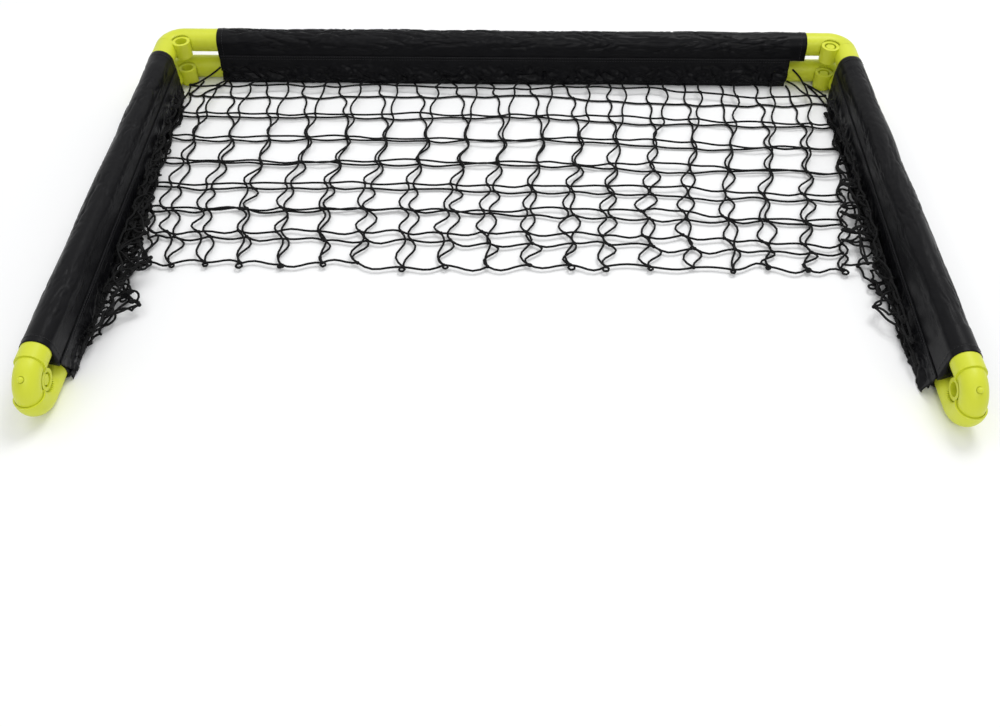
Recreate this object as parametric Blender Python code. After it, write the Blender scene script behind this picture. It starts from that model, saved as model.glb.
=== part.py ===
"""Folding soccer goal, opened out flat.

Two U-shaped frames of black tube lie on each other, joined by six lime plastic elbow hinges. The lower frame
is the rear bar and two ground bars; the upper frame is the crossbar and two posts. Metres, +Z up, crossbar
along X, legs toward -Y, origin on the floor under the middle of the goal.
"""

import math

import bmesh
import bpy
from mathutils import Matrix, Vector

MM = 0.001
MERGE_DISTANCE = 0.02 * MM

# Overall size of the flat goal
GOAL_WIDTH = 900.0 * MM
GOAL_DEPTH = 600.0 * MM

# Elbow hinge: each half is a straight socket and a quarter bend round the pivot axis
BEND_RADIUS = 20.0 * MM
ELBOW_RADIUS = 14.5 * MM
SOCKET_LENGTH = 45.0 * MM
SOCKET_FLOOR = 14.0 * MM
SOCKET_BORE_RADIUS = 12.8 * MM
RIM_CHAMFER = 0.7 * MM
SHELL_CAVITY_RADIUS = 13.0 * MM
INNER_BEND_RADIUS = 12.6 * MM
INNER_CAVITY_RADIUS = 11.1 * MM
BEND_OVERLAP_DEG = 12.0
MOUTH_GAP_DEG = 1.0
ELBOW_SIDES = 20
BEND_STEPS = 5
CAVITY_STEPS = 10
D_STEPS = 8

# Toothed recess round the pivot barrel
RECESS_RADIUS = 13.2 * MM
RECESS_WALL = 1.5 * MM
WALL_CLEARANCE = 0.3 * MM
TOOTH_TIP_RADIUS = 11.8 * MM
TOOTH_PITCH_DEG = 10.0
BARREL_RADIUS = 11.0 * MM
BARREL_HALF_HEIGHT = 10.5 * MM
BARREL_BORE_RADIUS = 7.2 * MM
BARREL_WEB_HALF = 2.0 * MM
WEB_HOLE_RADIUS = 3.1 * MM

# Catch window in the leg-side socket: a round-ended slot round a springy tongue
WINDOW_START = 35.0 * MM
WINDOW_LENGTH = 14.0 * MM
WINDOW_HALF_HEIGHT = 4.3 * MM
TONGUE_LENGTH = 8.0 * MM
TONGUE_HALF_WIDTH = 2.6 * MM

# Spring lock button on the inner bend
BUTTON_ANGLE_DEG = 230.0
BUTTON_RADIUS = 3.0 * MM
BUTTON_HOLE_RADIUS = 3.35 * MM
BUTTON_PROUD = 3.2 * MM
BUTTON_TRAVEL = 6.3 * MM
BUTTON_FLANGE_TOP = 9.2 * MM
BUTTON_FLANGE_RADIUS = 3.9 * MM
BUTTON_FLANGE_THICKNESS = 1.3 * MM
SPRING_RADIUS = 3.1 * MM
SPRING_WIRE_RADIUS = 0.35 * MM
SPRING_TURNS = 4.0
SPRING_POINTS_PER_TURN = 6

# Pivot pin in the barrel
PIN_DISC_RADIUS = 5.5 * MM
PIN_SHANK_RADIUS = 2.7 * MM
PIN_RIVET_RADIUS = 4.2 * MM
PIN_DISC_DEPTH = 0.6 * MM
PIN_RIVET_HEIGHT = 2.2 * MM
TOUCH_GAP = 0.3 * MM

# Tubes
TUBE_RADIUS = 12.5 * MM
TUBE_WALL = 1.0 * MM
TUBE_END_GAP = 0.5 * MM

# Fabric sleeves: a slack tube with a flap sewn along it, which hangs on the goal's inner side
SLEEVE_RADIUS = 16.2 * MM
SLEEVE_BORE_OVER_SOCKET = 15.0 * MM
SLEEVE_BORE_OVER_TUBE = 13.4 * MM
UPPER_SLEEVE_FOLD = 0.3 * MM
LOWER_SLEEVE_FOLD = 1.0 * MM
SLEEVE_FLOOR_GAP = 0.3 * MM
SLEEVE_STATIONS = 10
FLAP_INNER = 16.3 * MM
FLAP_THICKNESS = 1.2 * MM
UPPER_FLAP_DROP = 37.0 * MM
LOWER_FLAP_DROP = 13.6 * MM
CROSSBAR_SLEEVE_LEFT = -368.5 * MM
CROSSBAR_SLEEVE_RIGHT = 386.0 * MM
POST_SLEEVE_REAR = 235.0 * MM
POST_SLEEVE_FRONT = -240.0 * MM
LOWER_SLEEVE_INSET = 1.5 * MM

# Nets: knotted twine, the rear one folded double
TWINE = 2.2 * MM
NET_COLUMNS = 13
NET_ROWS_PER_LAYER = 5
NET_HALF_WIDTH_REAR = 384.0 * MM
NET_HALF_WIDTH_FOLD = 374.0 * MM
NET_FOLD_Y = -85.0 * MM
NET_UPPER_Z = 9.5 * MM
NET_LOWER_Z = 4.0 * MM
NET_UPPER_EDGE_Z = 20.0 * MM
SIDE_NET_REAR = 205.0 * MM
SIDE_NET_FRONT = -222.0 * MM
SIDE_NET_STATIONS = 12

# Places that follow from the sizes
LOWER_Z = ELBOW_RADIUS
UPPER_Z = LOWER_Z + 2.0 * BEND_RADIUS
HINGE_MID_Z = 0.5 * (LOWER_Z + UPPER_Z)
LEG_X = 0.5 * GOAL_WIDTH - SLEEVE_RADIUS
BAR_Y = 0.5 * GOAL_DEPTH - SLEEVE_RADIUS
CORNER_X = LEG_X - BEND_RADIUS
CORNER_Y = BAR_Y - BEND_RADIUS
BASE_Y = -0.5 * GOAL_DEPTH + BEND_RADIUS + ELBOW_RADIUS

LIME = (0.62, 0.72, 0.06, 1.0)
TUBE_BLACK = (0.012, 0.012, 0.013, 1.0)
CLOTH_BLACK = (0.018, 0.018, 0.020, 1.0)
TWINE_BLACK = (0.010, 0.010, 0.010, 1.0)
STEEL_GREY = (0.45, 0.45, 0.46, 1.0)


def clear_scene():
    for old in list(bpy.data.objects):
        bpy.data.objects.remove(old, do_unlink=True)


def material(name, colour, roughness, metallic=0.0):
    made = bpy.data.materials.new(name)
    made.use_nodes = True
    shader = made.node_tree.nodes["Principled BSDF"]
    shader.inputs["Base Color"].default_value = colour
    shader.inputs["Roughness"].default_value = roughness
    shader.inputs["Metallic"].default_value = metallic
    made.diffuse_color = colour
    return made


# Mesh building

def polygon(radius, sides, flat_first=True):
    """Points of a regular polygon whose flats lie at the radius, one flat square to the first axis."""
    step = 2.0 * math.pi / sides
    corner = radius / math.cos(0.5 * step)
    turn = 0.5 * step if flat_first else 0.0
    return [(corner * math.cos(turn + k * step), corner * math.sin(turn + k * step)) for k in range(sides)]


def d_section(radius, wall_radius, steps=D_STEPS):
    """Tube section cut flat on the pivot side, as (distance from the pivot axis, height)."""
    end = math.acos((wall_radius - BEND_RADIUS) / radius)
    angles = [-end + 2.0 * end * k / steps for k in range(steps + 1)]
    return [(BEND_RADIUS + radius * math.cos(a), radius * math.sin(a)) for a in angles]


def loft(rings):
    """Closed solid through rings of points, with flat ends."""
    mesh = bmesh.new()
    loops = [[mesh.verts.new(point) for point in ring] for ring in rings]
    count = len(loops[0])
    for lower, upper in zip(loops, loops[1:]):
        for k in range(count):
            after = (k + 1) % count
            mesh.faces.new((lower[k], lower[after], upper[after], upper[k]))
    mesh.faces.new(list(reversed(loops[0])))
    mesh.faces.new(loops[-1])
    bmesh.ops.recalc_face_normals(mesh, faces=mesh.faces)
    return mesh


def to_mesh(name, mesh):
    data = bpy.data.meshes.new(name)
    mesh.to_mesh(data)
    mesh.free()
    return data


def prism(name, outline, low, high, place=Matrix()):
    """Outline in the XY plane, drawn from low to high along Z, then placed."""
    rings = [[place @ Vector((x, y, z)) for x, y in outline] for z in (low, high)]
    return to_mesh(name, loft(rings))


def turned(name, profile, sides, place=Matrix()):
    """Solid turned about Z from (radius, height) pairs, closed at both ends."""
    rings = []
    for radius, height in profile:
        ring = [Vector((x, y, height)) for x, y in polygon(radius, sides)]
        rings.append([place @ point for point in ring])
    return to_mesh(name, loft(rings))


def combine(name, base, steps):
    """Runs a list of (operation, mesh) Booleans on a mesh and returns the result."""
    body = bpy.data.objects.new(name, base)
    bpy.context.collection.objects.link(body)
    tools = []
    for operation, tool_mesh in steps:
        tool = bpy.data.objects.new(name + "_tool", tool_mesh)
        bpy.context.collection.objects.link(tool)
        tool.display_type = "WIRE"
        tool.hide_render = True
        step = body.modifiers.new(operation.lower(), "BOOLEAN")
        step.operation = operation
        step.solver = "EXACT"
        step.object = tool
        tools.append(tool)
    graph = bpy.context.evaluated_depsgraph_get()
    mesh = bmesh.new()
    mesh.from_mesh(body.evaluated_get(graph).to_mesh())
    bmesh.ops.remove_doubles(mesh, verts=mesh.verts, dist=MERGE_DISTANCE)
    bmesh.ops.dissolve_degenerate(mesh, edges=mesh.edges, dist=MERGE_DISTANCE)
    bmesh.ops.dissolve_limit(mesh, angle_limit=math.radians(0.3), verts=mesh.verts, edges=mesh.edges)
    bmesh.ops.triangulate(mesh, faces=[face for face in mesh.faces if len(face.verts) > 4])
    result = to_mesh(name, mesh)
    for gone in tools + [body]:
        bpy.data.objects.remove(gone, do_unlink=True)
    return result


def smooth(mesh, angle_deg=32.0):
    mesh.shade_smooth()
    mesh.set_sharp_from_angle(angle=math.radians(angle_deg))
    return mesh


# Elbow hinge, drawn as the full U: pivot axis on Z, shell socket along +X at +Y, inner socket at -Y

def bend_ring(section, angle_deg):
    turn = math.radians(angle_deg)
    return [Vector((reach * math.cos(turn), reach * math.sin(turn), height)) for reach, height in section]


def round_section():
    return [(BEND_RADIUS + x, y) for x, y in polygon(ELBOW_RADIUS, ELBOW_SIDES)]


def rim_section():
    return [(BEND_RADIUS + x, y) for x, y in polygon(ELBOW_RADIUS - RIM_CHAMFER, ELBOW_SIDES)]


def straight_ring(section, x, side):
    return [Vector((x, side * reach, height)) for reach, height in section]


def spread(first, last, steps):
    return [first + (last - first) * k / steps for k in range(steps + 1)]


def tube_bore(side):
    """Cutter for the straight bore that takes the tube's end."""
    section = [(BEND_RADIUS + x, y) for x, y in polygon(SOCKET_BORE_RADIUS, ELBOW_SIDES)]
    rings = [straight_ring(section, x, side) for x in (SOCKET_FLOOR, SOCKET_LENGTH + 2.0 * MM)]
    return to_mesh("tube_bore", loft(rings))


def toothed_recess():
    """Cutter for the recess: a disc whose rim leaves a tooth standing at every pitch."""
    outline = []
    for k in range(round(360.0 / TOOTH_PITCH_DEG)):
        start = k * TOOTH_PITCH_DEG
        for share, radius in ((0.0, RECESS_RADIUS), (0.45, TOOTH_TIP_RADIUS), (0.8, TOOTH_TIP_RADIUS)):
            turn = math.radians(start + share * TOOTH_PITCH_DEG)
            outline.append((radius * math.cos(turn), radius * math.sin(turn)))
    return prism("toothed_recess", outline, -20.0 * MM, 20.0 * MM)


def elbow_shell_mesh():
    """Outer half: socket and larger quarter bend, hollow for the inner bend, with the toothed recess."""
    section = round_section()
    rings = [straight_ring(rim_section(), SOCKET_LENGTH, 1)]
    rings.append(straight_ring(section, SOCKET_LENGTH - RIM_CHAMFER, 1))
    rings += [bend_ring(section, a) for a in spread(90.0, 180.0 - MOUTH_GAP_DEG, BEND_STEPS)]
    cavity_section = d_section(SHELL_CAVITY_RADIUS, RECESS_RADIUS + RECESS_WALL)
    cavity_end = 90.0 - BEND_OVERLAP_DEG - 3.0
    cavity = loft([bend_ring(cavity_section, a) for a in spread(184.0, cavity_end, CAVITY_STEPS)])
    cutters = (toothed_recess(), to_mesh("cavity", cavity), tube_bore(1))
    cuts = [("DIFFERENCE", cutter) for cutter in cutters]
    return smooth(combine("elbow_shell", to_mesh("shell_body", loft(rings)), cuts))


def window_slot():
    """Cutter for the slot that leaves the catch tongue standing in its window."""
    bend_side = WINDOW_START - WINDOW_LENGTH
    arc_x = bend_side + WINDOW_HALF_HEIGHT
    outline = [(WINDOW_START, WINDOW_HALF_HEIGHT)]
    for k in range(7):
        turn = math.radians(90.0 + 30.0 * k)
        outline.append((arc_x + WINDOW_HALF_HEIGHT * math.cos(turn), WINDOW_HALF_HEIGHT * math.sin(turn)))
    outline.append((WINDOW_START, -WINDOW_HALF_HEIGHT))
    outline.append((WINDOW_START, -TONGUE_HALF_WIDTH))
    tip_x = WINDOW_START - TONGUE_LENGTH + TONGUE_HALF_WIDTH
    for k in range(5):
        turn = math.radians(270.0 - 45.0 * k)
        outline.append((tip_x + TONGUE_HALF_WIDTH * math.cos(turn), TONGUE_HALF_WIDTH * math.sin(turn)))
    outline.append((WINDOW_START, TONGUE_HALF_WIDTH))
    near = -(BEND_RADIUS + ELBOW_RADIUS + 1.0 * MM)
    far = -(BEND_RADIUS + SOCKET_BORE_RADIUS - 3.0 * MM)
    rings = [[Vector((x, y, z)) for x, z in outline] for y in (near, far)]
    return to_mesh("window_slot", loft(rings))


def button_frame():
    """Local frame of the lock button: Z outward through the bend, origin on the tube's centre line."""
    turn = math.radians(BUTTON_ANGLE_DEG)
    outward = Vector((math.cos(turn), math.sin(turn), 0.0))
    side = Vector((0.0, 0.0, 1.0))
    place = Matrix.Identity(4)
    for column, axis in enumerate((side, outward.cross(side), outward)):
        for row in range(3):
            place[row][column] = axis[row]
    place.translation = outward * BEND_RADIUS
    return place


def elbow_inner_mesh():
    """Inner half: socket with a catch window, smaller quarter bend, and the barrel in the recess."""
    section = round_section()
    socket = loft([
        straight_ring(section, 0.0, -1),
        straight_ring(section, SOCKET_LENGTH - RIM_CHAMFER, -1),
        straight_ring(rim_section(), SOCKET_LENGTH, -1),
    ])
    wall = RECESS_RADIUS + RECESS_WALL + WALL_CLEARANCE
    tip = 180.0 - BEND_OVERLAP_DEG
    bend_section = d_section(INNER_BEND_RADIUS, wall)
    bend = loft([bend_ring(bend_section, a) for a in spread(tip, 271.5, BEND_STEPS + 1)])
    hollow_section = d_section(INNER_CAVITY_RADIUS, wall + RECESS_WALL)
    hollow = loft([bend_ring(hollow_section, a) for a in spread(tip - 3.0, 263.0, BEND_STEPS)])
    barrel = prism("barrel", polygon(BARREL_RADIUS, 20), -BARREL_HALF_HEIGHT, BARREL_HALF_HEIGHT)
    bore = polygon(BARREL_BORE_RADIUS, 16)
    upper_bore = prism("upper_bore", bore, BARREL_WEB_HALF, BARREL_HALF_HEIGHT + 1.0 * MM)
    lower_bore = prism("lower_bore", bore, -BARREL_HALF_HEIGHT - 1.0 * MM, -BARREL_WEB_HALF)
    hole = polygon(WEB_HOLE_RADIUS, 10)
    web_hole = prism("web_hole", hole, -2.0 * BARREL_WEB_HALF, 2.0 * BARREL_WEB_HALF)
    hole_low = INNER_CAVITY_RADIUS - 2.5 * MM
    hole_high = INNER_BEND_RADIUS + 2.0 * MM
    button_hole = prism("button_hole", polygon(BUTTON_HOLE_RADIUS, 10), hole_low, hole_high, button_frame())
    steps = [
        ("UNION", to_mesh("bend", bend)),
        ("UNION", barrel),
        ("DIFFERENCE", to_mesh("hollow", hollow)),
        ("DIFFERENCE", upper_bore),
        ("DIFFERENCE", lower_bore),
        ("DIFFERENCE", web_hole),
        ("DIFFERENCE", tube_bore(-1)),
        ("DIFFERENCE", window_slot()),
        ("DIFFERENCE", button_hole),
    ]
    return smooth(combine("elbow_inner", to_mesh("socket", socket), steps))


def pivot_pin_mesh():
    """Stepped pin: wide disc on one side of the barrel's web, riveted over on the other."""
    disc_end = -BARREL_HALF_HEIGHT + PIN_DISC_DEPTH
    web = BARREL_WEB_HALF + TOUCH_GAP
    profile = [
        (PIN_DISC_RADIUS - 0.5 * MM, disc_end),
        (PIN_DISC_RADIUS, disc_end + 0.5 * MM),
        (PIN_DISC_RADIUS, -web),
        (PIN_SHANK_RADIUS, -web),
        (PIN_SHANK_RADIUS, web),
        (PIN_RIVET_RADIUS, web),
        (PIN_RIVET_RADIUS - 0.8 * MM, web + PIN_RIVET_HEIGHT),
    ]
    return smooth(turned("pivot_pin", profile, 12))


def lock_button_mesh():
    """Domed nub on a round flange, in the button frame with the nub fully out."""
    top = INNER_BEND_RADIUS + BUTTON_PROUD
    flange_low = BUTTON_FLANGE_TOP - BUTTON_FLANGE_THICKNESS
    profile = [(BUTTON_FLANGE_RADIUS, flange_low), (BUTTON_FLANGE_RADIUS, BUTTON_FLANGE_TOP)]
    profile.append((BUTTON_RADIUS, BUTTON_FLANGE_TOP))
    dome_low = top - BUTTON_RADIUS
    for turn_deg in (0.0, 38.0, 70.0):
        turn = math.radians(turn_deg)
        profile.append((BUTTON_RADIUS * math.cos(turn), dome_low + BUTTON_RADIUS * math.sin(turn)))
    return smooth(turned("lock_button", profile, 12))


def button_spring_mesh(sunk):
    """Coil between the bend's recess wall and the button's flange, as one swept wire."""
    wall = RECESS_RADIUS + 2.0 * RECESS_WALL + WALL_CLEARANCE - BEND_RADIUS
    low = wall + SPRING_WIRE_RADIUS + TOUCH_GAP
    flange = BUTTON_FLANGE_TOP - BUTTON_FLANGE_THICKNESS - sunk
    high = flange - SPRING_WIRE_RADIUS - TOUCH_GAP
    count = round(SPRING_TURNS * SPRING_POINTS_PER_TURN)
    rings = []
    for k in range(count + 1):
        turn = 2.0 * math.pi * k / SPRING_POINTS_PER_TURN
        radial = Vector((math.cos(turn), math.sin(turn), 0.0))
        rise = Vector((0.0, 0.0, low + (high - low) * k / count))
        ring = []
        for x, y in polygon(0.5 * SPRING_WIRE_RADIUS, 3):
            ring.append(radial * (SPRING_RADIUS + x) + rise + Vector((0.0, 0.0, y)))
        rings.append(ring)
    return to_mesh("button_spring", loft(rings))


# Tubes, sleeves and nets

def along(axis_from, axis_to, inward):
    """Frame for a straight piece: Z along it, X toward the goal's inside, Y completing the frame."""
    direction = (axis_to - axis_from).normalized()
    up = direction.cross(inward)
    place = Matrix.Identity(4)
    for column, axis in enumerate((inward, up, direction)):
        for row in range(3):
            place[row][column] = axis[row]
    place.translation = axis_from
    return place


def tube_mesh(length):
    """Round steel tube, open at both ends."""
    outer = polygon(TUBE_RADIUS, ELBOW_SIDES)
    inner = polygon(TUBE_RADIUS - TUBE_WALL, ELBOW_SIDES)
    mesh = bmesh.new()
    loops = []
    for outline, z in ((outer, 0.0), (outer, length), (inner, length), (inner, 0.0)):
        loops.append([mesh.verts.new((x, y, z)) for x, y in outline])
    for first, second in zip(loops, loops[1:] + loops[:1]):
        for k in range(ELBOW_SIDES):
            after = (k + 1) % ELBOW_SIDES
            mesh.faces.new((first[k], first[after], second[after], second[k]))
    bmesh.ops.recalc_face_normals(mesh, faces=mesh.faces)
    return smooth(to_mesh("tube", mesh))


def sleeve_outline(fold, flap_drop, floor):
    """Sleeve section as (inward, up): a slack round, and a flap hanging from its inner side."""
    flap_outer = FLAP_INNER + FLAP_THICKNESS
    outline = [(FLAP_INNER, -flap_drop), (flap_outer, -flap_drop), (flap_outer, 0.5 * MM)]
    outline.append((SLEEVE_RADIUS - 1.1 * MM, 5.5 * MM))
    round_points = [44.0, 67.0, 90.0, 113.0, 135.0, 157.0, 180.0, 203.0, 225.0, 247.0, 270.0, 294.0, 318.0]
    for index, angle_deg in enumerate(round_points):
        angle = math.radians(angle_deg)
        inset = fold * (index % 2)
        if angle_deg in (90.0, 180.0):
            inset = 0.0
        radius = SLEEVE_RADIUS - inset
        outline.append((radius * math.cos(angle), max(radius * math.sin(angle), floor)))
    outline.append((SLEEVE_RADIUS - 0.4 * MM, -2.6 * MM))
    return outline


def sleeve_mesh(name, length, flip, bore_radius, depth, flap_drop, floor):
    """Sleeve along Z. Folds come and go along it; flip mirrors the up direction of the frame."""
    rings = []
    for k in range(SLEEVE_STATIONS):
        share = k / (SLEEVE_STATIONS - 1)
        come_and_go = depth * abs(math.sin(2.4 * math.pi * share + 0.6))
        outline = sleeve_outline(come_and_go, flap_drop, floor)
        rings.append([Vector((x, flip * y, share * length)) for x, y in outline])
    body = to_mesh(name + "_cloth", loft(rings))
    bore = prism(name + "_bore", polygon(bore_radius, 16), -2.0 * MM, length + 2.0 * MM)
    return smooth(combine(name, body, [("DIFFERENCE", bore)]))


def net_path():
    """Rows of the rear net as (y, z): from the crossbar's flap to the fold and back to the rear bar's flap."""
    start_y = BAR_Y - FLAP_INNER - FLAP_THICKNESS - 2.0 * MM
    drop_y = start_y - 24.0 * MM
    rows = [(start_y, NET_UPPER_EDGE_Z)]
    for k in range(NET_ROWS_PER_LAYER):
        share = k / NET_ROWS_PER_LAYER
        rows.append((drop_y + (NET_FOLD_Y - drop_y) * share, NET_UPPER_Z))
    fold_z = 0.5 * (NET_UPPER_Z + NET_LOWER_Z)
    rows.append((NET_FOLD_Y - 2.0 * MM, fold_z))
    for k in range(NET_ROWS_PER_LAYER):
        share = k / NET_ROWS_PER_LAYER
        rows.append((NET_FOLD_Y + 6.0 * MM + (start_y - NET_FOLD_Y - 6.0 * MM) * share, NET_LOWER_Z))
    rows.append((start_y, NET_LOWER_Z))
    return rows


def net_half_width(y):
    share = (y - NET_FOLD_Y) / (BAR_Y - NET_FOLD_Y)
    return NET_HALF_WIDTH_FOLD + (NET_HALF_WIDTH_REAR - NET_HALF_WIDTH_FOLD) * share


def net_mesh():
    """Net as one closed lattice: square knots of twine thickness joined by square strands."""
    path = net_path()
    rows = len(path) - 1
    mesh = bmesh.new()
    half = 0.5 * TWINE
    signs = ((-1, -1), (1, -1), (1, 1), (-1, 1))
    corner = {}
    for row, (y, z) in enumerate(path):
        ahead = Vector((0.0, *path[min(row + 1, rows)]))
        behind = Vector((0.0, *path[max(row - 1, 0)]))
        tangent = (ahead - behind).normalized()
        normal = Vector((1.0, 0.0, 0.0)).cross(tangent)
        for column in range(NET_COLUMNS + 1):
            x = net_half_width(y) * (2.0 * column / NET_COLUMNS - 1.0)
            for side in (-1, 1):
                for end, face in signs:
                    point = Vector((x + side * half, y, z)) + (tangent * end + normal * face) * half
                    corner[row, column, side, end, face] = mesh.verts.new(point)

    def side_ring(row, column, side):
        return [corner[row, column, side, end, face] for end, face in signs]

    def end_ring(row, column, end):
        return [corner[row, column, side, end, face] for side, face in signs]

    def strand(first, second):
        for k in range(4):
            mesh.faces.new((first[k - 1], first[k], second[k], second[k - 1]))

    for row in range(rows + 1):
        for column in range(NET_COLUMNS + 1):
            for face in (-1, 1):
                mesh.faces.new([corner[row, column, side, end, face] for side, end in signs])
            if column < NET_COLUMNS:
                strand(side_ring(row, column, 1), side_ring(row, column + 1, -1))
            if row < rows:
                strand(end_ring(row, column, 1), end_ring(row + 1, column, -1))
        mesh.faces.new(side_ring(row, 0, -1))
        mesh.faces.new(side_ring(row, NET_COLUMNS, 1))
    for column in range(NET_COLUMNS + 1):
        mesh.faces.new(end_ring(0, column, -1))
        mesh.faces.new(end_ring(rows, column, 1))
    bmesh.ops.recalc_face_normals(mesh, faces=mesh.faces)
    return to_mesh("rear_net", mesh)


def side_net_mesh(name, side):
    """Side net gathered along a leg's inner side: a lumpy bundle, wider past the rear net's fold."""
    outer_x = LEG_X - FLAP_INNER - FLAP_THICKNESS - 0.8 * MM
    rings = []
    for k in range(SIDE_NET_STATIONS):
        share = k / (SIDE_NET_STATIONS - 1)
        y = SIDE_NET_REAR + (SIDE_NET_FRONT - SIDE_NET_REAR) * share
        swell = 0.5 + 0.5 * math.sin(5.2 * math.pi * share)
        if y > NET_FOLD_Y - 8.0 * MM:
            inner_x = outer_x - 14.0 * MM + 3.0 * MM * swell
        else:
            inner_x = outer_x - 40.0 * MM + 12.0 * MM * swell
        if k == SIDE_NET_STATIONS - 1:
            inner_x = outer_x - 12.0 * MM
        top = (22.0 + 7.0 * swell) * MM
        middle_x = 0.5 * (inner_x + outer_x)
        outline = [(outer_x, 1.0 * MM), (outer_x, top - 4.0 * MM), (outer_x - 4.0 * MM, top)]
        outline += [(middle_x, 0.75 * top), (inner_x, 0.4 * top), (inner_x + 1.0 * MM, 1.0 * MM)]
        rings.append([Vector((side * x, y, z)) for x, z in outline])
    return smooth(to_mesh(name, loft(rings)))


# Assembly

def place_object(name, mesh, place, finish, parent):
    if mesh.materials:
        mesh.materials[0] = finish
    else:
        mesh.materials.append(finish)
    made = bpy.data.objects.new(name, mesh)
    bpy.context.collection.objects.link(made)
    made.matrix_world = place
    if parent is not None:
        made.parent = parent
        made.matrix_parent_inverse = parent.matrix_world.inverted()
    return made


def joint_empty(name, location, parent=None):
    empty = bpy.data.objects.new(name, None)
    bpy.context.collection.objects.link(empty)
    empty.empty_display_size = 30.0 * MM
    empty.matrix_world = Matrix.Translation(location)
    if parent is not None:
        empty.parent = parent
        empty.matrix_parent_inverse = parent.matrix_world.inverted()
    bpy.context.view_layer.update()
    return empty


def hinge_matrix(x_axis, y_axis, location):
    """Frame of an elbow whose shell socket runs along x_axis on the y_axis side of the pivot."""
    place = Matrix.Identity(4)
    for column, axis in enumerate((x_axis, y_axis, x_axis.cross(y_axis))):
        for row in range(3):
            place[row][column] = axis[row]
    place.translation = location
    return place


def build_elbow(prefix, place, folded, parts, finishes, pair):
    """One elbow hinge. Folded means the full U; otherwise the inner bend is run into the shell."""
    shell_body, leg_body = pair
    turn = Matrix.Identity(4) if folded else Matrix.Rotation(math.radians(-90.0), 4, "Z")
    leg_place = place @ turn
    sunk = 0.0 if folded else BUTTON_TRAVEL
    button_place = leg_place @ button_frame()
    pushed = button_place @ Matrix.Translation((0.0, 0.0, -sunk))
    spring = parts["spring_out"] if folded else parts["spring_in"]
    place_object(prefix + "_elbow_shell", parts["shell"], place, finishes["lime"], shell_body)
    place_object(prefix + "_elbow_inner", parts["inner"], leg_place, finishes["lime"], leg_body)
    place_object(prefix + "_pivot_pin", parts["pin"], leg_place, finishes["lime"], leg_body)
    place_object(prefix + "_button_spring", spring, button_place, finishes["steel"], leg_body)
    slide = joint_empty(prefix + "_button_slide", pushed.translation, leg_body)
    place_object(prefix + "_lock_button", parts["button"], pushed, finishes["lime"], slide)


def build_run(name, start, end, inward, sleeve_span, upper, finishes, body):
    """A tube from socket floor to socket floor, and its sleeve over the given span of distances."""
    frame = along(start, end, inward)
    flip = 1.0 if frame.col[1].z > 0.0 else -1.0
    length = (end - start).length
    tube_place = frame @ Matrix.Translation((0.0, 0.0, SOCKET_FLOOR + TUBE_END_GAP))
    tube = tube_mesh(length - 2.0 * (SOCKET_FLOOR + TUBE_END_GAP))
    place_object(name + "_tube", tube, tube_place, finishes["tube"], body)
    bore = SLEEVE_BORE_OVER_SOCKET if upper else SLEEVE_BORE_OVER_TUBE
    drop = UPPER_FLAP_DROP if upper else LOWER_FLAP_DROP
    floor = -SLEEVE_RADIUS if upper else SLEEVE_FLOOR_GAP - LOWER_Z
    first, last = sleeve_span
    depth = UPPER_SLEEVE_FOLD if upper else LOWER_SLEEVE_FOLD
    sleeve = sleeve_mesh(name + "_sleeve", last - first, flip, bore, depth, drop, floor)
    sleeve_place = frame @ Matrix.Translation((0.0, 0.0, first))
    place_object(name + "_sleeve", sleeve, sleeve_place, finishes["cloth"], body)


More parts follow.
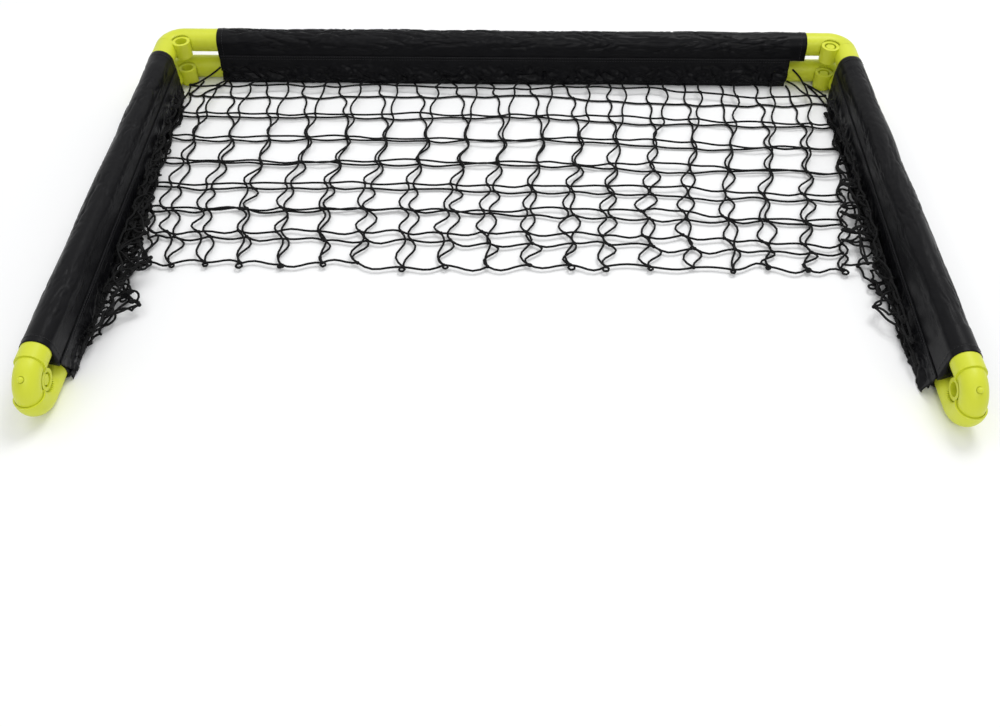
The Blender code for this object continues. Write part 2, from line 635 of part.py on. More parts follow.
def build_goal():
    clear_scene()
    finishes = {
        "lime": material("lime_plastic", LIME, 0.38),
        "tube": material("black_tube", TUBE_BLACK, 0.22, 0.0),
        "cloth": material("black_cloth", CLOTH_BLACK, 0.62),
        "twine": material("black_twine", TWINE_BLACK, 0.75),
        "steel": material("spring_steel", STEEL_GREY, 0.3, 1.0),
    }
    parts = {
        "shell": elbow_shell_mesh(),
        "inner": elbow_inner_mesh(),
        "pin": pivot_pin_mesh(),
        "button": lock_button_mesh(),
        "spring_out": button_spring_mesh(0.0),
        "spring_in": button_spring_mesh(BUTTON_TRAVEL),
    }
    up = Vector((0.0, 0.0, 1.0))
    right = Vector((1.0, 0.0, 0.0))
    rearward = Vector((0.0, 1.0, 0.0))

    root = joint_empty("rear_bar_body", Vector((0.0, BAR_Y, LOWER_Z)))
    swing = joint_empty("crossbar_swing", Vector((0.0, BASE_Y, HINGE_MID_Z)), root)
    bodies = {"rear_bar": root, "crossbar": swing}
    for name, side in (("left", -1.0), ("right", 1.0)):
        corner = Vector((side * CORNER_X, CORNER_Y, LOWER_Z))
        base = Vector((side * LEG_X, BASE_Y, HINGE_MID_Z))
        ground = joint_empty(name + "_corner_hinge", corner, bodies["rear_bar"])
        bodies[name + "_ground"] = ground
        bodies[name + "_post"] = joint_empty(name + "_base_hinge", base, ground)

    for name, side in (("left", -1.0), ("right", 1.0)):
        levels = (("rear", LOWER_Z, "rear_bar", "_ground"), ("top", UPPER_Z, "crossbar", "_post"))
        for level, height, shell_body, leg_body in levels:
            place = hinge_matrix(-side * right, rearward, Vector((side * CORNER_X, CORNER_Y, height)))
            pair = (bodies[shell_body], bodies[name + leg_body])
            build_elbow(f"{level}_{name}", place, False, parts, finishes, pair)
        place = hinge_matrix(rearward, -up, Vector((side * LEG_X, BASE_Y, HINGE_MID_Z)))
        pair = (bodies[name + "_ground"], bodies[name + "_post"])
        build_elbow(f"base_{name}", place, True, parts, finishes, pair)

    rear_socket = SOCKET_LENGTH + LOWER_SLEEVE_INSET
    for name, height, upper in (("rear_bar", LOWER_Z, False), ("crossbar", UPPER_Z, True)):
        start = Vector((-CORNER_X, BAR_Y, height))
        end = Vector((CORNER_X, BAR_Y, height))
        span = (rear_socket, 2.0 * CORNER_X - rear_socket)
        if upper:
            span = (CROSSBAR_SLEEVE_LEFT + CORNER_X, CROSSBAR_SLEEVE_RIGHT + CORNER_X)
        build_run(name, start, end, -rearward, span, upper, finishes, bodies[name])
    for name, side in (("left", -1.0), ("right", 1.0)):
        for kind, height, upper in (("ground", LOWER_Z, False), ("post", UPPER_Z, True)):
            start = Vector((side * LEG_X, CORNER_Y, height))
            end = Vector((side * LEG_X, BASE_Y, height))
            span = (rear_socket, CORNER_Y - BASE_Y - rear_socket)
            if upper:
                span = (CORNER_Y - POST_SLEEVE_REAR, CORNER_Y - POST_SLEEVE_FRONT)
            run = f"{name}_{kind}"
            build_run(run, start, end, -side * right, span, upper, finishes, bodies[run])

    place_object("rear_net", net_mesh(), Matrix(), finishes["twine"], bodies["rear_bar"])
    for name, side in (("left", -1.0), ("right", 1.0)):
        lump = side_net_mesh(name + "_side_net", side)
        place_object(name + "_side_net", lump, Matrix(), finishes["twine"], bodies[name + "_ground"])


build_goal()
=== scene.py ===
"""Folding soccer goal, opened flat: cloth sleeves, lime elbow hinges and knotted nets around the frame."""

import logging
import math
import random
from dataclasses import dataclass, field
from enum import Enum
from typing import Dict, Iterable, List, Optional, Sequence, Tuple

import bmesh
import bpy
from mathutils import Matrix, Vector, noise


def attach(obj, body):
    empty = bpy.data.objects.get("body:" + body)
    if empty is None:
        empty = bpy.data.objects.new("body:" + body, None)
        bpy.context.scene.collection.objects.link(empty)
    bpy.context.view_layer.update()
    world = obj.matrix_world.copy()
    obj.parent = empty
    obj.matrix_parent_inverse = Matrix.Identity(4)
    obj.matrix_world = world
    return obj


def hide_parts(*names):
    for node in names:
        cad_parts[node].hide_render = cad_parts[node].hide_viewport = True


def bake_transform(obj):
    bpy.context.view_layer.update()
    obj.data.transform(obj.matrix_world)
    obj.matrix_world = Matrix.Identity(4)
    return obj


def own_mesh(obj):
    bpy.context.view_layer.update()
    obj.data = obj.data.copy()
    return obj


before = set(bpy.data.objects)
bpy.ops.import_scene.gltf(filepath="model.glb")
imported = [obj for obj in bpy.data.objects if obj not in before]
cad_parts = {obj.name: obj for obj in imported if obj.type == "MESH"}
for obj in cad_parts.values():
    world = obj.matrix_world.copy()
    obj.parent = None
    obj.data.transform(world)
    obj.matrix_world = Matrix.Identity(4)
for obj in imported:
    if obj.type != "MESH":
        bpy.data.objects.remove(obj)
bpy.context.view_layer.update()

LOG = logging.getLogger("goal")
MM = 0.001

Mesh = bpy.types.Mesh
Object = bpy.types.Object
Material = bpy.types.Material
Node = bpy.types.Node
NodeTree = bpy.types.NodeTree
Socket = bpy.types.NodeSocket
Pair = Tuple[float, float]
Colour = Tuple[float, float, float]

# The frame's own sizes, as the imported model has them
LOWER_Z = 14.5 * MM
UPPER_Z = 54.5 * MM
HINGE_Z = 34.5 * MM
LEG_X = 433.8 * MM
BAR_Y = 283.8 * MM
CORNER_X = 413.8 * MM
CORNER_Y = 263.8 * MM
BASE_Y = -265.5 * MM
ELBOW_REACH = 46.5 * MM
UP = Vector((0.0, 0.0, 1.0))
REARWARD = Vector((0.0, 1.0, 0.0))
STILL = Vector((0.0, 0.0, 0.0))


class Side(Enum):
    """Left and right, as the sign of X."""

    LEFT = -1
    RIGHT = 1

    @property
    def word(self) -> str:
        """The side's name in lower case."""
        return self.name.lower()

    @property
    def inward(self) -> Vector:
        """The direction from this side to the middle of the goal."""
        return Vector((-self.value, 0.0, 0.0))


class Level(Enum):
    """The two stacked U frames, as the height of their tubes."""

    LOWER = LOWER_Z
    UPPER = UPPER_Z


class SocketKind(Enum):
    """What a node group's socket carries."""

    COLOUR = "NodeSocketColor"
    VALUE = "NodeSocketFloat"


# Numbers and places

def clamp(value: float) -> float:
    """The value kept between 0 and 1."""
    return min(max(value, 0.0), 1.0)


def smoothstep(t: float) -> float:
    """The smooth rise from 0 to 1 as t goes from 0 to 1."""
    t = clamp(t)
    return t * t * (3.0 - 2.0 * t)


def smoothstep_inverse(share: float) -> float:
    """The t at which smoothstep gives this share."""
    return 0.5 - math.sin(math.asin(1.0 - 2.0 * share) / 3.0)


def mix(low: float, high: float, share: float) -> float:
    """The value that lies this share of the way from low to high."""
    return low + (high - low) * share


def wobble(x: float, y: float, seed: float) -> float:
    """Smooth noise in about -1 to 1 at a place on a surface."""
    return 2.0 * noise.noise(Vector((x, y, seed)))


def crease(value: float, depth: float, width: float) -> float:
    """How deep a crease is that runs where the value crosses zero."""
    return depth * math.exp(-(value / width) ** 2)


def pleat(value: float, sharpness: float) -> float:
    """A fold's height, 1 on its crest where the value crosses zero and falling off to both sides."""
    return 1.0 - sharpness * abs(value)


def polar(radius: float, turn: float) -> Pair:
    """The point at this radius and angle."""
    return radius * math.cos(turn), radius * math.sin(turn)


def toward(turn: float) -> Vector:
    """The level unit vector at this angle."""
    return Vector((math.cos(turn), math.sin(turn), 0.0))


def arc(centre: Pair, radius: float, first_deg: float, step_deg: float, count: int) -> List[Pair]:
    """Points at even steps along an arc.

    Args:
        centre: Centre of the arc.
        radius: Radius of the arc.
        first_deg: Angle of the first point.
        step_deg: Angle from each point to the next.
        count: Number of points.

    Returns:
        The points in turn.
    """
    spokes = [polar(radius, math.radians(first_deg + step_deg * k)) for k in range(count)]
    return [(centre[0] + x, centre[1] + y) for x, y in spokes]


def ring_polygon(radius: float, sides: int) -> List[Pair]:
    """Corners of a regular polygon with a flat square to the first axis.

    Args:
        radius: Distance from the centre to each flat.
        sides: Number of sides.

    Returns:
        The corners in turn.
    """
    step = 2.0 * math.pi / sides
    corner = radius / math.cos(0.5 * step)
    return [polar(corner, (k + 0.5) * step) for k in range(sides)]


def both_ends(first: Pair, last: Pair) -> Tuple[Pair, Pair]:
    """A section point given in mm at both ends of a sleeve, in metres."""
    return (first[0] * MM, first[1] * MM), (last[0] * MM, last[1] * MM)


def place_of(x_axis: Vector, y_axis: Vector, origin: Vector) -> Matrix:
    """The matrix of a right-handed frame.

    Args:
        x_axis: Its X axis.
        y_axis: Its Y axis.
        origin: Its origin.

    Returns:
        The matrix.
    """
    place = Matrix((x_axis, y_axis, x_axis.cross(y_axis))).transposed().to_4x4()
    place.translation = origin
    return place


# Meshes and objects

def skin(work: bmesh.types.BMesh, rings: Sequence[Sequence[Vector]], closed: bool = False) -> None:
    """Adds a skin over closed rings of points.

    Args:
        work: The mesh under construction.
        rings: Rings of equal length, in order.
        closed: True if the last ring joins the first; otherwise both ends are capped.
    """
    loops = [[work.verts.new(point) for point in ring] for ring in rings]
    following = loops[1:] + (loops[:1] if closed else [])
    for lower, upper in zip(loops, following):
        for k in range(len(lower)):
            work.faces.new((lower[k - 1], lower[k], upper[k], upper[k - 1]))
    if not closed:
        work.faces.new(list(reversed(loops[0])))
        work.faces.new(loops[-1])


def finished(name: str, work: bmesh.types.BMesh) -> Mesh:
    """Ends the work on a mesh.

    Args:
        name: Name of the mesh.
        work: The mesh under construction.

    Returns:
        The mesh, with outward normals.
    """
    bmesh.ops.recalc_face_normals(work, faces=work.faces)
    made = bpy.data.meshes.new(name)
    work.to_mesh(made)
    work.free()
    return made


def loft(name: str, rings: Sequence[Sequence[Vector]], closed: bool = False) -> Mesh:
    """Skins closed rings of points into a mesh of its own.

    Args:
        name: Name of the mesh.
        rings: Rings of equal length, in order.
        closed: True if the last ring joins the first; otherwise both ends are capped.

    Returns:
        A closed mesh with outward normals.
    """
    work = bmesh.new()
    skin(work, rings, closed)
    return finished(name, work)


def put(name: str, data: Optional[bpy.types.ID]) -> Object:
    """Makes an object in the scene.

    Args:
        name: Name of the object.
        data: Its mesh, light or camera.

    Returns:
        The new object.
    """
    made = bpy.data.objects.new(name, data)
    bpy.context.collection.objects.link(made)
    return made


def add_object(name: str, mesh: Mesh, finish: Material, place: Matrix = Matrix()) -> Object:
    """Adds a piece with one material.

    Args:
        name: Name of the piece.
        mesh: Its mesh.
        finish: Its material.
        place: Its place in the scene.

    Returns:
        The new object.
    """
    made = put(name, mesh)
    if not mesh.materials:
        mesh.materials.append(finish)
    made.matrix_world = place
    return made


def carve(name: str, base: Mesh, steps: Sequence[Tuple[str, Mesh]]) -> Mesh:
    """Runs exact Booleans on a mesh.

    Args:
        name: Name of the result.
        base: The solid to start from.
        steps: Pairs of operation and the other solid.

    Returns:
        The resulting mesh.
    """
    body = put(name, base)
    tools = []
    for operation, tool_mesh in steps:
        tool = put(f"{name}_tool", tool_mesh)
        step = body.modifiers.new(operation.lower(), "BOOLEAN")
        step.operation = operation
        step.solver = "EXACT"
        step.object = tool
        tools.append(tool)
    graph = bpy.context.evaluated_depsgraph_get()
    made = bpy.data.meshes.new_from_object(body.evaluated_get(graph))
    made.name = name
    for gone in tools + [body]:
        bpy.data.objects.remove(gone, do_unlink=True)
    return made


def soften_edges(piece: Object, width: float, angle_deg: float = 35.0) -> None:
    """Rounds a hard piece's edges and shades it smooth.

    Args:
        piece: The piece.
        width: Width of the rounding.
        angle_deg: Least angle of an edge that is rounded.
    """
    rounding = piece.modifiers.new("rounding", "BEVEL")
    rounding.width = width
    rounding.segments = 2
    rounding.limit_method = "ANGLE"
    rounding.angle_limit = math.radians(angle_deg)
    rounding.harden_normals = True
    piece.data.shade_smooth()
    piece.data.set_sharp_from_angle(angle=math.radians(angle_deg))


def hand_over(piece: Object, body: str, node: Optional[str] = None) -> None:
    """Ties a stiff piece to the frame.

    Args:
        piece: The piece.
        body: The body it moves with.
        node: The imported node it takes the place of, if any.
    """
    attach(piece, body)
    if node:
        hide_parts(node)


# Finishes

class Tree:
    """A node tree under construction, with short calls for nodes and links."""

    def __init__(self, tree: NodeTree) -> None:
        """Starts on an existing tree."""
        self.tree = tree

    def fill(self, node: Node, values: Dict[object, object]) -> None:
        """Feeds a node's inputs.

        Args:
            node: The node.
            values: Input socket names and what they get: a value, or another node's output socket.
        """
        for key, value in values.items():
            if isinstance(value, Socket):
                self.tree.links.new(value, node.inputs[key])
            else:
                node.inputs[key].default_value = value

    def node(self, kind: str, values: Optional[Dict[object, object]] = None, **settings: object) -> Node:
        """Adds a node.

        Args:
            kind: Blender's type name of the node.
            values: What its inputs get, as in fill.
            settings: Properties of the node.

        Returns:
            The new node.
        """
        made = self.tree.nodes.new(kind)
        for key, value in settings.items():
            setattr(made, key, value)
        self.fill(made, values or {})
        return made

    def group(self, tree: NodeTree, values: Dict[object, object]) -> bpy.types.NodeOutputs:
        """The outputs of a shared group added with these inputs."""
        return self.node("ShaderNodeGroup", values, node_tree=tree).outputs

    def math(self, operation: str, first: object, second: object = 0.0) -> Socket:
        """The result of a Math node."""
        return self.node("ShaderNodeMath", {0: first, 1: second}, operation=operation).outputs[0]

    def ramp(self, source: Socket, low: float, high: float) -> Socket:
        """Maps a value's range from low to high onto 0 to 1, clamped."""
        made = self.node("ShaderNodeMapRange", {"Value": source, "From Min": low, "From Max": high})
        return made.outputs["Result"]

    def noise(self, where: Socket, scale: object, detail: float) -> Socket:
        """Smooth noise over the places in where."""
        made = self.node("ShaderNodeTexNoise", {"Vector": where, "Scale": scale, "Detail": detail})
        return made.outputs["Fac"]

    def two_colours(self, share: Socket, first: object, second: object) -> Socket:
        """The colour this share of the way from first to second, by a Mix node's colour sockets."""
        return self.node("ShaderNodeMix", {0: share, 6: first, 7: second}, data_type="RGBA").outputs[2]

    def two_shaders(self, share: Socket, first: Node, second: Node) -> Socket:
        """The shader this share of the way from first to second."""
        made = self.node("ShaderNodeMixShader", {0: share, 1: first.outputs[0], 2: second.outputs[0]})
        return made.outputs[0]


def node_group(name: str, inputs: Dict[str, object], outputs: Dict[str, SocketKind]) -> Tuple[Tree, Node]:
    """Starts a shader node group.

    Args:
        name: Name of the group.
        inputs: Socket names and their defaults, each a number or a colour.
        outputs: Socket names and their kinds.

    Returns:
        The tree and its input node.
    """
    group = bpy.data.node_groups.new(name, "ShaderNodeTree")
    for key, default in inputs.items():
        kind = SocketKind.VALUE if isinstance(default, float) else SocketKind.COLOUR
        socket = group.interface.new_socket(name=key, in_out="INPUT", socket_type=kind.value)
        socket.default_value = default
    for key, kind in outputs.items():
        group.interface.new_socket(name=key, in_out="OUTPUT", socket_type=kind.value)
    tree = Tree(group)
    return tree, tree.node("NodeGroupInput")


def opaque(colour: Colour) -> Tuple[float, float, float, float]:
    """The colour as a socket takes it."""
    return (*colour, 1.0)


def mottle_group() -> NodeTree:
    """Makes the group for slow and fine variation of a plain colour.

    Returns:
        A group that puts out a colour, a roughness and a height for bump.
    """
    tree, given = node_group(
        "surface_mottle",
        {
            "Colour": opaque((0.5, 0.5, 0.5)),
            "Shade": opaque((0.4, 0.4, 0.4)),
            "Patch Scale": 30.0,
            "Grain Scale": 900.0,
            "Roughness": 0.5,
            "Roughness Spread": 0.1,
        },
        {"Colour": SocketKind.COLOUR, "Roughness": SocketKind.VALUE, "Height": SocketKind.VALUE},
    )
    where = tree.node("ShaderNodeTexCoord").outputs["Object"]
    patch = tree.noise(where, given.outputs["Patch Scale"], 4.0)
    grain = tree.noise(where, given.outputs["Grain Scale"], 3.0)
    share = tree.ramp(patch, 0.35, 0.7)
    centred = tree.math("SUBTRACT", tree.math("MULTIPLY", grain, 0.6), 0.3)
    both = tree.math("ADD", centred, tree.math("SUBTRACT", patch, 0.5))
    spread = tree.math("MULTIPLY", both, given.outputs["Roughness Spread"])
    rough = tree.math("ADD", given.outputs["Roughness"], tree.math("MULTIPLY", spread, 2.0))
    colour = tree.two_colours(share, given.outputs["Colour"], given.outputs["Shade"])
    tree.node("NodeGroupOutput", {"Colour": colour, "Roughness": rough, "Height": grain})
    return tree.tree


def wear_and_corner_shade_group() -> NodeTree:
    """Makes the group for a lighter rub along outer edges, and painted shade: a darker line in corners and
    creases, where shade falls.

    Returns:
        A group that puts out a colour.
    """
    tree, given = node_group(
        "edge_wear",
        {
            "Colour": opaque((0.5, 0.5, 0.5)),
            "Worn": opaque((0.7, 0.7, 0.7)),
            "Hidden": opaque((0.3, 0.3, 0.3)),
            "Amount": 0.5,
        },
        {"Colour": SocketKind.COLOUR},
    )
    form = tree.node("ShaderNodeNewGeometry").outputs["Pointiness"]
    where = tree.node("ShaderNodeTexCoord").outputs["Object"]
    break_up = tree.noise(where, 260.0, 5.0)
    edge = tree.math("MULTIPLY", tree.ramp(form, 0.53, 0.62), tree.ramp(break_up, 0.38, 0.62))
    edge = tree.math("MULTIPLY", edge, given.outputs["Amount"])
    # Painted shade: concave corners and creases are darkened toward the shade colour
    corner = tree.math("MULTIPLY", tree.ramp(form, 0.47, 0.38), given.outputs["Amount"])
    rubbed = tree.two_colours(edge, given.outputs["Colour"], given.outputs["Worn"])
    tree.node("NodeGroupOutput", {"Colour": tree.two_colours(corner, rubbed, given.outputs["Hidden"])})
    return tree.tree


def weave_group() -> NodeTree:
    """Makes the group for a plain weave laid on the cloth's UV map in metres.

    Returns:
        A group that puts out a height.
    """
    tree, given = node_group("plain_weave", {"Threads": 1600.0}, {"Height": SocketKind.VALUE})
    flat = tree.node("ShaderNodeUVMap", uv_map="cloth").outputs["UV"]
    parts = tree.node("ShaderNodeSeparateXYZ", {0: flat}).outputs
    turns = [tree.math("MULTIPLY", parts[axis], given.outputs["Threads"]) for axis in "XY"]
    crossed = tree.math("MULTIPLY", *(tree.math("SINE", turn) for turn in turns))
    tree.node("NodeGroupOutput", {"Height": tree.math("ADD", tree.math("MULTIPLY", crossed, 0.5), 0.5)})
    return tree.tree


@dataclass(frozen=True)
class Finish:
    """A finish: a colour with slow and fine variation, edge wear, painted shade in corners and creases, and
    grain or a weave in the bump.
    """

    name: str
    colour: Colour
    # shade is the darker tone of the mottle, and also the colour of the painted shade in corners
    shade: Colour
    worn: Colour
    roughness: float
    spread: float = 0.1
    metallic: float = 0.0
    specular: float = 0.5
    patch_scale: float = 30.0
    grain_scale: float = 900.0
    bump: float = 0.1
    bump_depth: float = 0.05 * MM
    # How strong the rubbed edges and the painted corner shade are
    wear: float = 0.4
    sheen: float = 0.0
    sheen_roughness: float = 0.4
    threads: float = 0.0
    grain_under_weave: float = 0.35

    def build(self, groups: Dict[str, NodeTree]) -> Material:
        """Makes the material.

        Args:
            groups: The shared node groups by name.

        Returns:
            The new material.
        """
        made = bpy.data.materials.new(self.name)
        made.use_nodes = True
        made.diffuse_color = opaque(self.colour)
        tree = Tree(made.node_tree)
        mottle = tree.group(groups["mottle"], {
            "Colour": opaque(self.colour),
            "Shade": opaque(self.shade),
            "Patch Scale": self.patch_scale,
            "Grain Scale": self.grain_scale,
            "Roughness": self.roughness,
            "Roughness Spread": self.spread,
        })
        # This group adds the rubbed edges and the painted shade in corners and creases, in the darker shade
        # colour
        worn = tree.group(groups["edge_wear"], {
            "Colour": mottle["Colour"],
            "Worn": opaque(self.worn),
            "Hidden": opaque(self.shade),
            "Amount": self.wear,
        })
        height = mottle["Height"]
        if self.threads:
            weave = tree.group(groups["weave"], {"Threads": self.threads})
            grain = tree.math("MULTIPLY", height, self.grain_under_weave)
            height = tree.math("ADD", grain, weave["Height"])
        relief = {"Height": height, "Strength": self.bump, "Distance": self.bump_depth}
        tree.fill(made.node_tree.nodes["Principled BSDF"], {
            "Base Color": worn["Colour"],
            "Metallic": self.metallic,
            "Roughness": mottle["Roughness"],
            "Specular IOR Level": self.specular,
            "Sheen Weight": self.sheen,
            "Sheen Roughness": self.sheen_roughness,
            "Normal": tree.node("ShaderNodeBump", relief).outputs["Normal"],
        })
        return made


# wear sets both the rubbed edges and the painted shade in corners and creases
LIME = Finish("lime_plastic", (0.645, 0.690, 0.034), (0.600, 0.650, 0.028), (0.70, 0.76, 0.10),
              roughness=0.42, spread=0.08, specular=0.38, patch_scale=24.0, grain_scale=1400.0, bump=0.10,
              wear=0.3)
TUBE_PAINT = Finish("black_tube_paint", (0.010, 0.010, 0.011), (0.014, 0.014, 0.016), (0.05, 0.05, 0.055),
                    roughness=0.22, spread=0.06, grain_scale=700.0, bump=0.05, wear=0.3)
CLOTH = Finish("black_polyester", (0.0038, 0.0038, 0.0048), (0.0024, 0.0024, 0.0032), (0.012, 0.012, 0.013),
               roughness=0.34, spread=0.10, specular=0.10, patch_scale=48.0, grain_scale=1500.0, bump=0.25,
               bump_depth=0.12 * MM, wear=0.2, sheen=0.008, threads=5200.0)
THREAD = Finish("black_thread", (0.014, 0.014, 0.016), (0.010, 0.010, 0.011), (0.03, 0.03, 0.033),
                roughness=0.50, spread=0.1, specular=0.25, grain_scale=2600.0, bump=0.3, wear=0.0)
TWINE = Finish("black_twine", (0.0042, 0.0042, 0.0046), (0.0026, 0.0026, 0.0028), (0.010, 0.010, 0.011),
               roughness=0.68, spread=0.12, specular=0.14, patch_scale=90.0, grain_scale=1900.0, bump=0.6,
               bump_depth=0.2 * MM, wear=0.0, sheen=0.02)
SPRING_STEEL = Finish("spring_steel", (0.50, 0.50, 0.51), (0.40, 0.40, 0.41), (0.65, 0.65, 0.66),
                      roughness=0.28, metallic=1.0, wear=0.0)


# Elbows

@dataclass
class ElbowHinge:
    """The lime elbow: a shell with a toothed recess, an inner half that runs into it, a pin and a button.

    Its frame has the pivot as Z, and angles are counted about the pivot. The shell bends on from 90 degrees,
    where its socket starts, and the inner half bends up to its own socket at 270 degrees.
    """

    bend: float = 20.0 * MM
    outer: float = 14.5 * MM
    socket: float = 45.0 * MM
    socket_floor: float = 14.0 * MM
    bore: float = 12.8 * MM
    rim: float = 0.7 * MM
    shell_end_deg: float = 179.0
    shell_cavity: float = 13.0 * MM
    cavity_deg: Pair = (184.0, 87.0)
    inner_bend: float = 12.6 * MM
    inner_cavity: float = 11.1 * MM
    inner_end_deg: float = 271.5
    hollow_end_deg: float = 263.0
    end_wall_deg: float = 3.0
    overlap_deg: float = 12.0
    recess: float = 13.2 * MM
    recess_wall: float = 1.5 * MM
    recess_half: float = 20.0 * MM
    clearance: float = 0.3 * MM
    tooth_tip: float = 11.8 * MM
    tooth_pitch_deg: float = 10.0
    tooth_start: float = 0.45
    tooth_end: float = 0.8
    barrel: float = 11.0 * MM
    barrel_half: float = 10.5 * MM
    barrel_bore: float = 7.2 * MM
    web_half: float = 2.0 * MM
    web_hole: float = 3.1 * MM
    window_start: float = 35.0 * MM
    window_length: float = 14.0 * MM
    window_half: float = 4.3 * MM
    window_depth: float = 3.0 * MM
    tongue_length: float = 8.0 * MM
    tongue_half: float = 2.6 * MM
    button_deg: float = 230.0
    button: float = 3.0 * MM
    button_hole: float = 3.35 * MM
    button_hole_depth: float = 2.5 * MM
    button_proud: float = 3.2 * MM
    button_travel: float = 6.3 * MM
    flange_top: float = 9.2 * MM
    flange: float = 3.9 * MM
    flange_thick: float = 1.3 * MM
    disc: float = 5.5 * MM
    disc_edge: float = 0.5 * MM
    disc_depth: float = 0.6 * MM
    shank: float = 2.7 * MM
    rivet: float = 4.2 * MM
    rivet_edge: float = 0.8 * MM
    rivet_height: float = 2.2 * MM
    gap: float = 0.3 * MM
    near: float = 1.0 * MM
    past: float = 2.0 * MM
    sides: int = 40
    cut_sides: int = 22
    bend_steps: int = 16
    barrel_sides: int = 48
    bore_sides: int = 36
    hole_sides: int = 24
    pin_sides: int = 32
    button_sides: int = 28
    meshes: Dict[str, Mesh] = field(default_factory=dict)

    def _round(self, radius: float) -> List[Pair]:
        """The tube section as (distance from the pivot, height)."""
        return [(self.bend + x, y) for x, y in ring_polygon(radius, self.sides)]

    def _cut_round(self, radius: float, wall: float) -> List[Pair]:
        """The tube section with its pivot side cut flat.

        Args:
            radius: Radius of the section.
            wall: Distance from the pivot to the flat.

        Returns:
            The section as (distance from the pivot, height).
        """
        end = math.acos((wall - self.bend) / radius)
        spokes = [polar(radius, mix(-end, end, k / self.cut_sides)) for k in range(self.cut_sides + 1)]
        return [(self.bend + x, y) for x, y in spokes]

    @staticmethod
    def _swing(section: Sequence[Pair], angle_deg: float) -> List[Vector]:
        """The section turned about the pivot."""
        return [Vector((*polar(reach, math.radians(angle_deg)), height)) for reach, height in section]

    @staticmethod
    def _slide(section: Sequence[Pair], x: float, side: int) -> List[Vector]:
        """The section moved along a straight socket."""
        return [Vector((x, side * reach, height)) for reach, height in section]

    def _bent(self, section: Sequence[Pair], first: float, last: float) -> List[List[Vector]]:
        """The section at even steps round the pivot between two angles."""
        marks = [mix(first, last, k / self.bend_steps) for k in range(self.bend_steps + 1)]
        return [self._swing(section, mark) for mark in marks]

    @staticmethod
    def _prism(name: str, shape: Sequence[Pair], low: float, high: float, place: Matrix = Matrix()) -> Mesh:
        """An outline drawn out along Z, then placed."""
        return loft(name, [[place @ Vector((x, y, z)) for x, y in shape] for z in (low, high)])

    def _tube_bore(self, side: int) -> Mesh:
        """The cutter for the bore that takes a tube."""
        ends = (self.socket_floor, self.socket + self.past)
        return loft("tube_bore", [self._slide(self._round(self.bore), x, side) for x in ends])

    def _toothed_recess(self) -> Mesh:
        """The cutter for the recess: a disc that leaves a tooth standing at every pitch.

        Returns:
            The cutter's mesh.
        """
        outline = []
        corners = ((0.0, self.recess), (self.tooth_start, self.tooth_tip), (self.tooth_end, self.tooth_tip))
        for k in range(round(360.0 / self.tooth_pitch_deg)):
            for share, radius in corners:
                outline.append(polar(radius, math.radians((k + share) * self.tooth_pitch_deg)))
        return self._prism("toothed_recess", outline, -self.recess_half, self.recess_half)

    def _window_slot(self) -> Mesh:
        """The cutter for the round-ended slot that leaves the catch tongue standing.

        Returns:
            The cutter's mesh.
        """
        arc_x = self.window_start - self.window_length + self.window_half
        tip_x = self.window_start - self.tongue_length + self.tongue_half
        outline = [(self.window_start, self.window_half)]
        outline += arc((arc_x, 0.0), self.window_half, 90.0, 15.0, 13)
        outline += [(self.window_start, -self.window_half), (self.window_start, -self.tongue_half)]
        outline += arc((tip_x, 0.0), self.tongue_half, 270.0, -22.5, 9)
        outline.append((self.window_start, self.tongue_half))
        outside = -(self.bend + self.outer + self.near)
        inside = -(self.bend + self.bore - self.window_depth)
        return loft("window_slot", [[Vector((x, y, z)) for x, z in outline] for y in (outside, inside)])

    def button_place(self) -> Matrix:
        """The button's frame: Z outward through the bend, origin on the tube's centre line."""
        outward = toward(math.radians(self.button_deg))
        return place_of(UP, outward.cross(UP), outward * self.bend)

    def _shell(self) -> Mesh:
        """The outer half.

        Returns:
            Its mesh.
        """
        section, rim = self._round(self.outer), self._round(self.outer - self.rim)
        rings = [self._slide(rim, self.socket, 1), self._slide(section, self.socket - self.rim, 1)]
        rings += self._bent(section, 90.0, self.shell_end_deg)
        cavity = self._cut_round(self.shell_cavity, self.recess + self.recess_wall)
        cavity_rings = self._bent(cavity, self.cavity_deg[0], self.cavity_deg[1] - self.overlap_deg)
        cutters = [self._toothed_recess(), loft("cavity", cavity_rings), self._tube_bore(1)]
        return carve("shell", loft("shell_body", rings), [("DIFFERENCE", cutter) for cutter in cutters])

